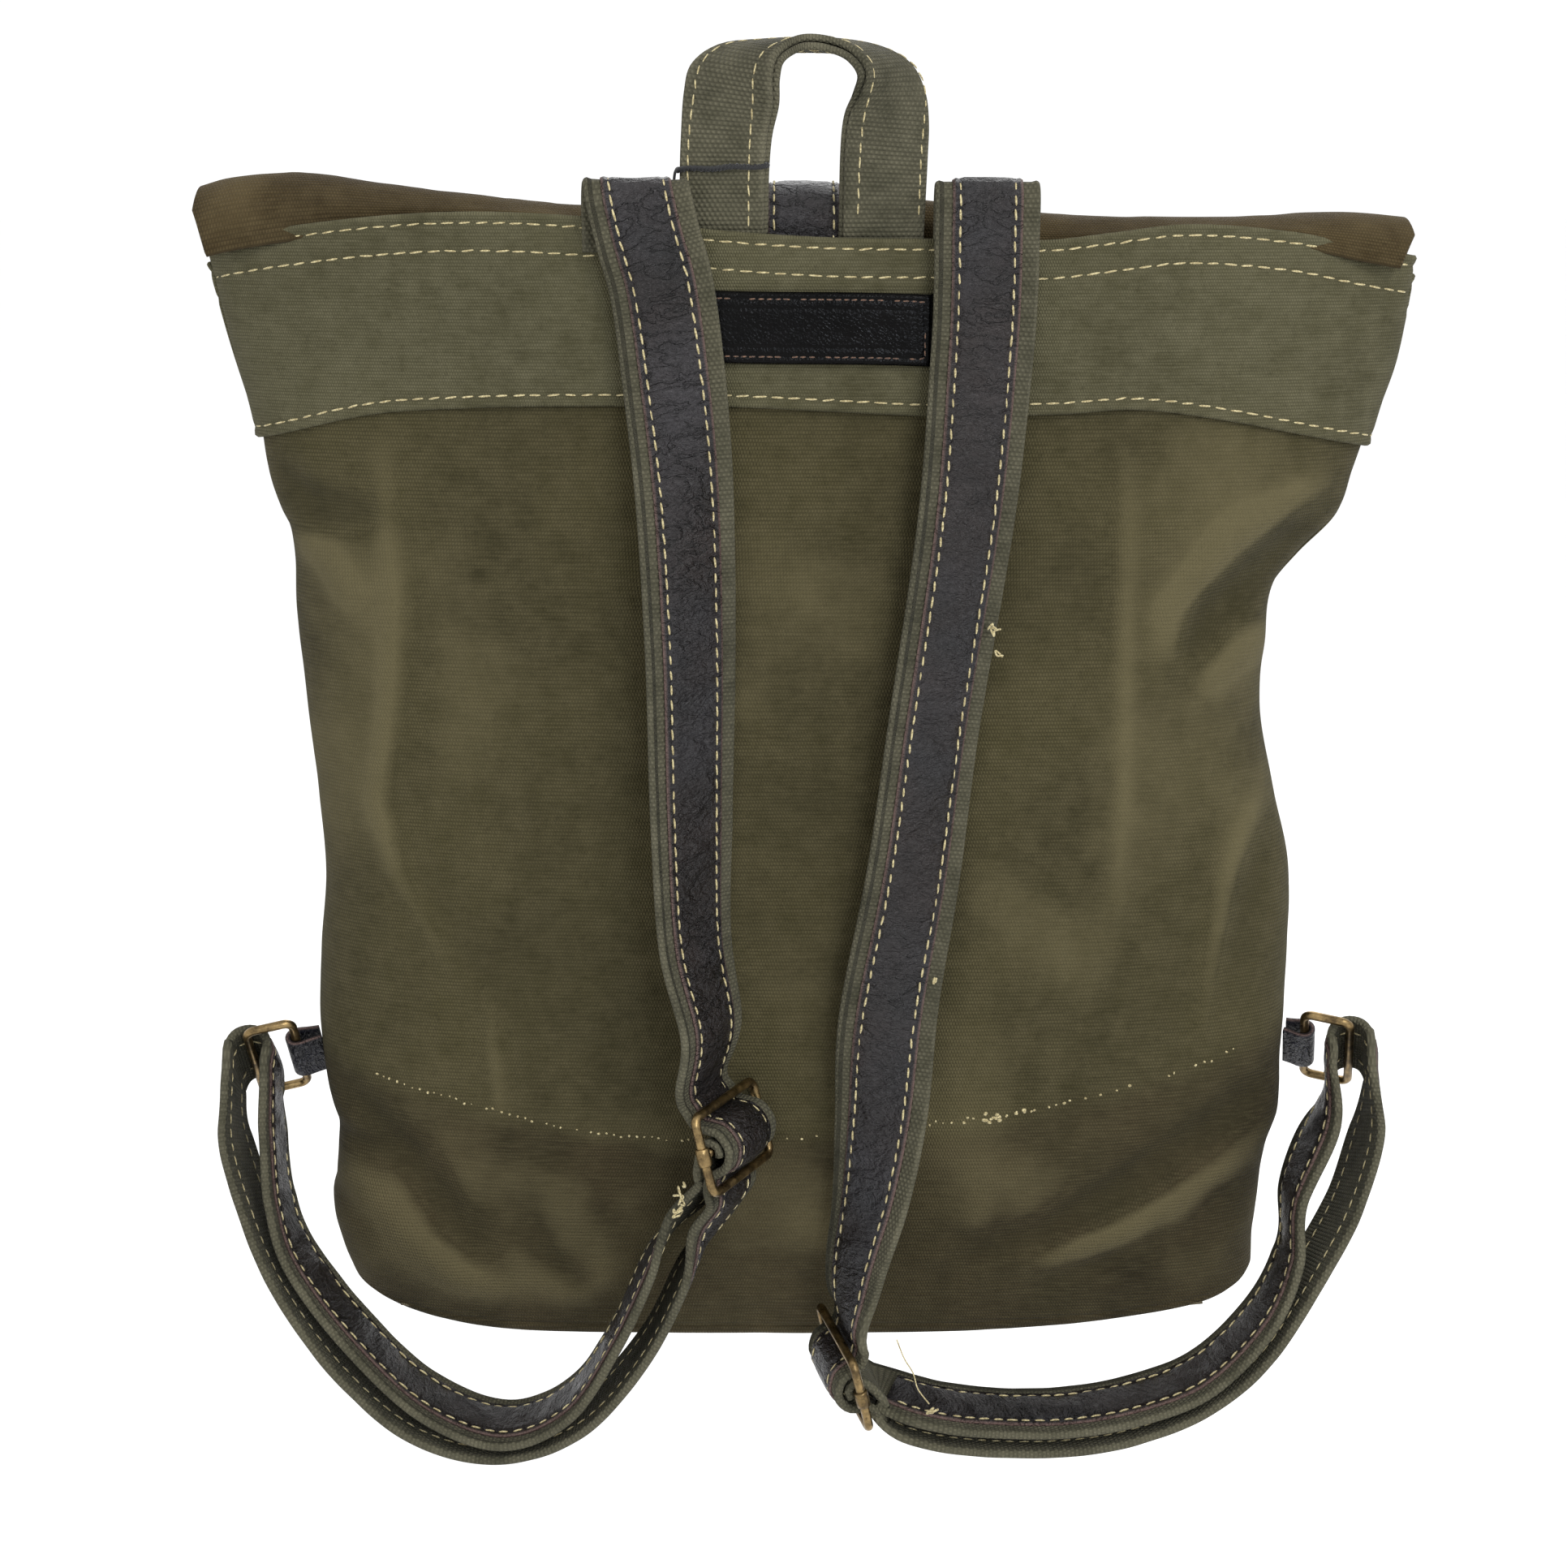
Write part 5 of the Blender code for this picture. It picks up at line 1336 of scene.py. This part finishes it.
def build_strap_cloth(h, m, label, bend):
    """Canvas strap, its leather face, and the stitches through both."""
    seed = 200 + (h["side"] > 0) * 40
    track = track_of(strap_route(h))
    place, _, _, face = track
    run = lengths_along(place)
    cloth = swept(f"strap_webbing_{label}", track, webbing_section(STRAP_WIDTH / 2, 2.5, 0.55),
                  m["webbing"],
                  lambda s, w: 0.12 * ripple(s, w, 9.0, seed) * (np.abs(w) > 13),
                  lambda s, w: 0.35 * ripple(s, w, 15.0, seed + 1) + 0.5 * (np.abs(w) > 17.6))
    settle(cloth, bend, "canvas_green", "strap_top_" + label, "strap_canvas_" + label)

    first = next(k for k in range(len(place)) if face[k][2] > 0.35)
    last = int(np.searchsorted(run, run[-1] - LEATHER_STOP))
    faced = tuple(a[first:last] for a in track)

    def leather_wave(s, w):
        inside = smoothstep(12.6, 9.5, np.abs(w))
        pull = 0.34 * ripple(s * 1.0, w * 0.45, 4.6, seed + 3) \
            + 0.34 * ripple(s, w * 0.5, 9.0, seed + 4) + 0.4 * ripple(s, w, 23.0, seed + 5)
        pucker = 0.12 * np.sin(s * 2 * np.pi / 5.6) * np.exp(-((np.abs(w) - STITCH_AT) / 1.6) ** 2)
        return pull * inside + pucker
    skin = swept(f"strap_leather_face_{label}", faced,
                 leather_section(LEATHER_HALF, 1.25, 1.25, STITCH_AT), m["leather"],
                 leather_wave, None, LEATHER_HALF - 0.2)
    settle(skin, bend, "leather_brown", "strap_top_leather_" + label, "strap_leather_" + label)

    place, _, wide, face = faced
    rows = []
    for w in (-STITCH_AT, STITCH_AT):
        rows.append((place + wide * w + face * 2.42, face, *STRAP_FACE_GAUGE))
        rows.append((place + wide * w - face * 1.30, -face, *STRAP_BACK_GAUGE))
    settle(stitches(f"strap_stitches_{label}", rows, m["ivory"]), bend, "canvas_green")


def wire_loop(name, centre, across, down, half_across, half_down, m, body, node):
    """Rounded rectangle of bent wire."""
    loop = rounded_loop(half_across - WIRE / 2, half_down - WIRE / 2, WIRE_CORNER, 8, 5)
    pts = [centre + down * v + across * u for u, v in loop]
    settle(tube(name, pts, WIRE / 2, m["brass"], True, 16), body, "antique_brass", node)


def build_slide(h, m, label, body):
    """Bent wire, its centre bar, and the bar's ends curled round the wire."""
    slide = h["slide"]
    wire_loop(f"slide_frame_wire_{label}", slide["at"], slide["wide"], slide["down"],
              SLIDE_HALF_WIDE, SLIDE_HALF_HIGH, m, body, "slide_frame_" + label)
    reach = SLIDE_HALF_WIDE - WIRE - 0.2
    pts = [slide["at"] + slide["wide"] * u for u in np.linspace(-reach, reach, 9)]
    bar = tube(f"slide_bar_wire_{label}", pts, WIRE / 2 - 0.2, m["brass"], False, 14, False)
    settle(bar, body, "antique_brass", "slide_bar_" + label)
    for sgn, end in ((-1, "near"), (1, "far")):
        c = slide["at"] + slide["wide"] * sgn * (SLIDE_HALF_WIDE - WIRE / 2)
        pts = [c + slide["down"] * t for t in (-3.6, -3.2, -1.2, 1.2, 3.2, 3.6)]
        clip = tube(f"slide_clip_{label}_{end}", pts, (2.2, 2.65, 2.75, 2.75, 2.65, 2.2),
                    m["brass"], False, 18, False)
        settle(clip, body, "antique_brass")


def build_side_ring(h, m, label, body):
    """Side ring, and the folded leather tab that holds it."""
    bar_dir, c, root = h["bar"], h["ring"], h["tab"]
    inward = root - c
    inward = unit(inward - bar_dir * inward.dot(bar_dir))
    wire_loop(f"side_ring_wire_{label}", c + inward * (RING_DEPTH / 2 - WIRE / 2), inward, bar_dir,
              RING_DEPTH / 2, RING_LENGTH / 2, m, body, "side_ring_" + label)
    hold = c + inward * (RING_DEPTH - WIRE)
    front = unit(np.cross(bar_dir, inward))
    turn = [hold + (-inward * math.cos(t) + front * math.sin(t)) * 3.3
            for t in np.radians(np.arange(-90, 91, 15))]
    reach = (root - hold).dot(inward) + 3.0
    route = [turn[0] + inward * reach + front, turn[0] + inward * reach * 0.6 + front * 0.6,
             turn[0] + inward * 2.0] + turn \
        + [turn[-1] + inward * 2.0, turn[-1] + inward * reach * 0.6 - front * 0.6,
           turn[-1] + inward * reach - front]
    ws = np.linspace(-12.0, 12.0, 15)
    sec = np.array([(w, 0.95) for w in ws] + [(12.25, 0.0)] + [(w, -0.95) for w in ws[::-1]]
                   + [(-12.25, 0.0)])
    seed = 209 + (h["side"] > 0) * 40
    tab = swept(f"side_tab_leather_{label}", track_of([(*p, *bar_dir) for p in route], 1.0), sec,
                m["tab"], lambda s, w: 0.25 * ripple(s, w, 5.0, seed), None, 12.1)
    settle(tab, ("bag", body, world_point(root), world_point(hold)), "leather_black",
           "side_tab_" + label)


def build_strap(h, m, label):
    body = "strap_" + label
    bend = ("bag", body, *[world_point(p) for p in STRAP_BEND])
    build_strap_cloth(h, m, label, bend)
    build_slide(h, m, label, body)
    build_side_ring(h, m, label, body)
    # knots and loose ends of thread
    local = np.random.default_rng(200 + (h["side"] > 0) * 40)
    for k, (spot, spread, turns) in enumerate(KNOTS[label]):
        ctrl = [np.array(spot) + local.normal(0, spread, 3) * (1, 0.5, 1) for _ in range(turns)]
        knot = tube(f"thread_knot_{label}_{k + 1}", spline(ctrl, 0.35), 0.40, m["ivory"],
                    False, 6)
        settle(knot, bend if spot[2] > 150 else body)
    if label == "right":
        loose = tube("loose_thread_right", spline(LOOSE_THREAD, 0.6), 0.26, m["ivory"], False, 6)
        settle(loose, body)


def build_threads(m, walls):
    """Row of old needle holes with thread left in them, low on the back, and tufts."""
    pts, faces, count = [], [], 0
    shape, shape_faces = spun(STITCH_PROFILE, STITCH_SIDES)
    wall = walls[0]
    normal = grid_normals(wall)
    normal *= -np.sign(normal[100, 100, 1])
    run = np.linspace(-176.0, 172.0, 118)
    for x0 in run:
        crowd = 4 if 64 < x0 < 92 else 1
        for k in range(crowd):
            x = x0 + rng.normal(0, 0.35 if crowd == 1 else 1.6)
            z = float(curve_at(OLD_SEAM, np.array(x))) + rng.normal(0, 0.35 * crowd ** 0.5)
            if rng.random() > (0.8 if crowd == 1 else 0.7) or (-12 < x0 < 20 and crowd == 1
                                                               and rng.random() < 0.5):
                continue
            near = np.argmin((wall[..., 0] - x) ** 2 + (wall[..., 2] - z) ** 2)
            i, j = np.unravel_index(near, wall.shape[:2])
            size = 0.30 + 0.22 * rng.random()
            if x0 > 60:
                size *= 1.25
            if crowd > 1:
                size *= 1.2
            axis = unit(rng.normal(0, 1, 3) * np.array((1, 0.2, 0.6))) * size * 1.25
            side = unit(np.cross(axis, normal[i, j])) * size
            up = normal[i, j] * size * 0.6
            at = np.array((x, wall[i, j, 1], z)) + normal[i, j] * 0.1
            pts.append(at + shape[:, :1] * axis + shape[:, 1:2] * side + shape[:, 2:] * up)
            faces += [tuple(i + count for i in f) for f in shape_faces]
            count += len(shape)
    settle(make("needle_hole_threads", np.concatenate(pts), faces, m["ivory"]), "bag",
           "canvas_brown")


# ---- pocket and zip ---------------------------------------------------------------
POCKET_HALF, POCKET_FOOT, POCKET_HIGH = 130.0, 62.0, 152.0
ZIP_HALF, ZIP_Z, TOOTH_PITCH = 90.0, 222.0, 1.5


def build_pocket(m):
    u, v = np.meshgrid(np.linspace(-1, 1, 150), np.linspace(0, 1, 90))
    x, z = u * POCKET_HALF, POCKET_FOOT + v * POCKET_HIGH
    edge = np.minimum((1 - np.abs(u)) * POCKET_HALF, np.minimum(v, 1 - v) * POCKET_HIGH)
    puff = 8.5 * np.sin(np.pi * v) ** 0.5 * np.cos(np.pi * u / 2) ** 0.5 * smoothstep(0, 26, edge)
    d = 1.3 + puff + (0.9 * ripple(x, z, 34.0, 121) + 0.4 * ripple(x, z, 13.0, 122)) \
        * smoothstep(2, 22, edge)
    for sgn in (-1, 1):
        d += crease(x * sgn, z, ((124, 70), (100, 92), (78, 104)), 6.0, -1.6)
        d += crease(x * sgn, z, ((122, 205), (104, 188), (86, 180)), 6.0, -1.2)
    folds = np.maximum(np.minimum(front_folds(x, z), FOLD_OUT), 0)
    grid = np.stack([x, wall_y(x, z, 0.0, True) + d + folds * smoothstep(30, 0, edge), z], axis=-1)
    normal = panel("front_pocket_cloth", grid, 1.4, m["body"],
                   np.stack([z, x, 0.3 * ripple(x, z, 13.0, 122)], axis=-1),
                   1, 1.0, "canvas_brown", "front_pocket")
    rows = []
    for inset in (3, 6):
        rows.append((grid[inset, 2:-2] + normal[inset, 2:-2] * 0.25, normal[inset, 2:-2],
                     *HEM_GAUGE))
        for j in (inset, -inset - 1):
            rows.append((grid[2:-2, j] + normal[2:-2, j] * 0.25, normal[2:-2, j], *HEM_GAUGE))
    settle(stitches("front_pocket_stitches", rows, m["ivory"]), "bag", "canvas_brown")


def build_zip_tape(m, word, z_lo, z_hi):
    x, z = np.meshgrid(np.linspace(-ZIP_HALF - 6, ZIP_HALF + 6, 120), np.linspace(z_lo, z_hi, 9))
    folds = np.maximum(np.minimum(front_folds(x, z), FOLD_OUT), 0)
    grid = np.stack([x, wall_y(x, z, 1.6, True) + folds * 0.4 + 0.8, z], axis=-1)
    panel(f"zip_tape_{word}_cloth", grid, 0.8, m["tape"], np.stack([x, z, 0 * x], axis=-1),
          1, 1.0, "zip_tape", f"zip_tape_{word}")


def build_zip_teeth(m):
    """Moulded teeth: two rows of tapered blocks that mesh."""
    pts, faces, count = [], [], 0
    corner = np.array([(sx, sy, sz) for sx in (-1, 1) for sy in (-1, 1) for sz in (-1, 1)], float)
    box = ((0, 1, 3, 2), (4, 6, 7, 5), (0, 4, 5, 1), (2, 3, 7, 6), (0, 2, 6, 4), (1, 5, 7, 3))
    for k in range(int(2 * ZIP_HALF / TOOTH_PITCH)):
        x = -ZIP_HALF + k * TOOTH_PITCH
        up = 1 if k % 2 else -1
        centre = np.array((x, float(wall_y(x, ZIP_Z, 2.7, True)), ZIP_Z + up * 0.9))
        shape = corner.copy()
        shape[:, 0] *= np.where(shape[:, 2] * up > 0, 0.75, 1.0)
        pts.append(centre + shape * np.array((0.62, 0.95, 1.5)))
        faces += [tuple(i + count for i in f) for f in box]
        count += 8
    teeth = make("zip_teeth", np.concatenate(pts), faces, m["brass"])
    teeth.data.shade_flat()
    settle(teeth, "bag", "antique_brass", "zip_chain")


def rounded_block(name, lo, hi, bevel, m, body, node):
    bm = bmesh.new()
    bmesh.ops.create_cube(bm, size=1.0)
    for vert in bm.verts:
        vert.co = Vector((lo + hi) / 2 + np.array(vert.co) * (hi - lo))
    bmesh.ops.bevel(bm, geom=bm.edges[:], offset=bevel, segments=3, affect="EDGES", profile=0.6)
    pts = np.array([vert.co for vert in bm.verts])
    faces = [[vert.index for vert in f.verts] for f in bm.faces]
    bm.free()
    settle(make(name, pts, faces, m["brass"]), body, "antique_brass", node)


def build_zip(m):
    build_zip_tape(m, "lower", ZIP_Z - 7.4, ZIP_Z - 2.2)
    build_zip_tape(m, "upper", ZIP_Z + 2.2, ZIP_Z + 10.0)
    build_zip_teeth(m)
    for word in ("left", "right"):
        lo, hi = box_mm("zip_stop_" + word)
        rounded_block(f"zip_stop_{word}_metal", lo + (0, 0.4, 0), hi + (0, 0.4, 0), 0.6, m, "bag",
                      "zip_stop_" + word)
    lo, hi = box_mm("zip_slider")
    rounded_block("zip_slider_body", lo + (0, 0.4, 0), hi, 1.3, m, "zip_slider", "zip_slider")
    middle = (lo + hi) / 2
    bridge = [(middle[0], hi[1] + rise, middle[2] + dz) for rise, dz in
              ((-0.4, -3.0), (1.5, -2.2), (2.0, 0.0), (1.5, 2.2), (-0.4, 3.0))]
    loop = tube("zip_slider_bridge", spline(bridge, 0.5), 0.8, m["brass"], False, 8)
    settle(loop, "zip_slider", "antique_brass")
    lo, hi = box_mm("zip_pull")
    xm, ym = (lo[0] + hi[0]) / 2, (lo[1] + hi[1]) / 2
    route = [(xm, ym - 0.6, hi[2], 1, 0, 0), (xm, ym, hi[2] - 8, 1, 0, 0),
             (xm, ym + 0.3, (lo[2] + hi[2]) / 2, 1, 0, 0), (xm, ym, lo[2], 1, 0, 0)]
    pull = swept("zip_pull_leather", track_of(route, 0.8), leather_section(4.2, 1.3, -0.6, None),
                 m["leather"], None, None, 4.1)
    settle(pull, "zip_pull", "leather_brown", "zip_pull")


# ---- inside -----------------------------------------------------------------------
LINING_THICK, LINING_INSET, LINING_COLS = 0.9, 5.6, 110


def build_lining(m):
    rows = np.linspace(30.0, RIM_Z, 90)
    ends = np.linspace(0, 1, LINING_COLS)
    for front, name, edge, drop, folds, nodes in (
            (False, "lining_back", BAND_TOP, 9.0, back_folds, ("lining",)),
            (True, "lining_front", FRONT_TOP, 5.0, front_folds, ())):
        grid, arc = wall_grid(front, rows, lambda x: curve_at(edge, x) - drop,
                              lambda x: curve_at(BOTTOM_EDGE, x) * 0.7 + 9.0, LINING_COLS,
                              LINING_INSET)
        x, z = grid[..., 0], grid[..., 2]
        # the lining faces inward, and keeps out of the way of folds that are pushed in
        outward = toward(grid, 1, -1.0 if front else 1.0)
        pushed = np.minimum(folds(x, z), 0.0)
        d = 0.8 * ripple(x, z, 40.0, 131 + front) + 0.4 * ripple(x, z, 15.0, 133)
        d = np.maximum(d, -0.8) - np.maximum(pushed, FOLD_IN) * 1.1
        d = d * smoothstep(0, 0.05, ends)[None, :] * smoothstep(1, 0.95, ends)[None, :]
        grid = grid + grid_normals(grid) * outward * d[..., None]
        # the fold height goes to the colour as painted highlight and painted shade
        obj = shell(name, grid, LINING_THICK, m["lining"], np.stack([z, arc, d], axis=-1), outward)
        settle(obj, "bag", "lining_cotton", *nodes)

    x, y = np.meshgrid(np.linspace(-165, 165, 60), np.linspace(10, 78, 24))
    z = curve_at(BOTTOM_EDGE, x) * 0.6 + 6.5 + 0.6 * ripple(x, y, 26.0, 137)
    panel("lining_floor", np.stack([x, y, z], axis=-1), LINING_THICK, m["lining"],
          np.stack([y, x, 0 * x], axis=-1), 2, 1.0, "lining_cotton")

    x, z = np.meshgrid(np.linspace(-110, 110, 90), np.linspace(200, 340, 50))
    slack = smoothstep(220, 340, z) * np.cos(np.pi * x / 220) * 5.0
    y = wall_y(x, z, -8.4) + slack + 0.5 * ripple(x, z, 28.0, 139)
    panel("inner_pocket_cloth", np.stack([x, y, z], axis=-1), 1.0, m["lining"],
          np.stack([z, x, 0 * x], axis=-1), 1, 1.0, "lining_cotton", "inner_slip_pocket")


def main():
    studio()
    m = all_materials()
    walls = build_walls(m)
    build_base(m, walls)
    build_bands(m)
    build_label(m)
    build_handle(m)
    build_tag_cord(m)
    build_flap(m)
    build_closure_strap(m)
    build_buckle(m)
    build_billet(m)
    build_snap(m)
    build_strap(harness(-1), m, "left")
    build_strap(harness(1), m, "right")
    build_threads(m, walls)
    build_pocket(m)
    build_zip(m)
    build_lining(m)


main()
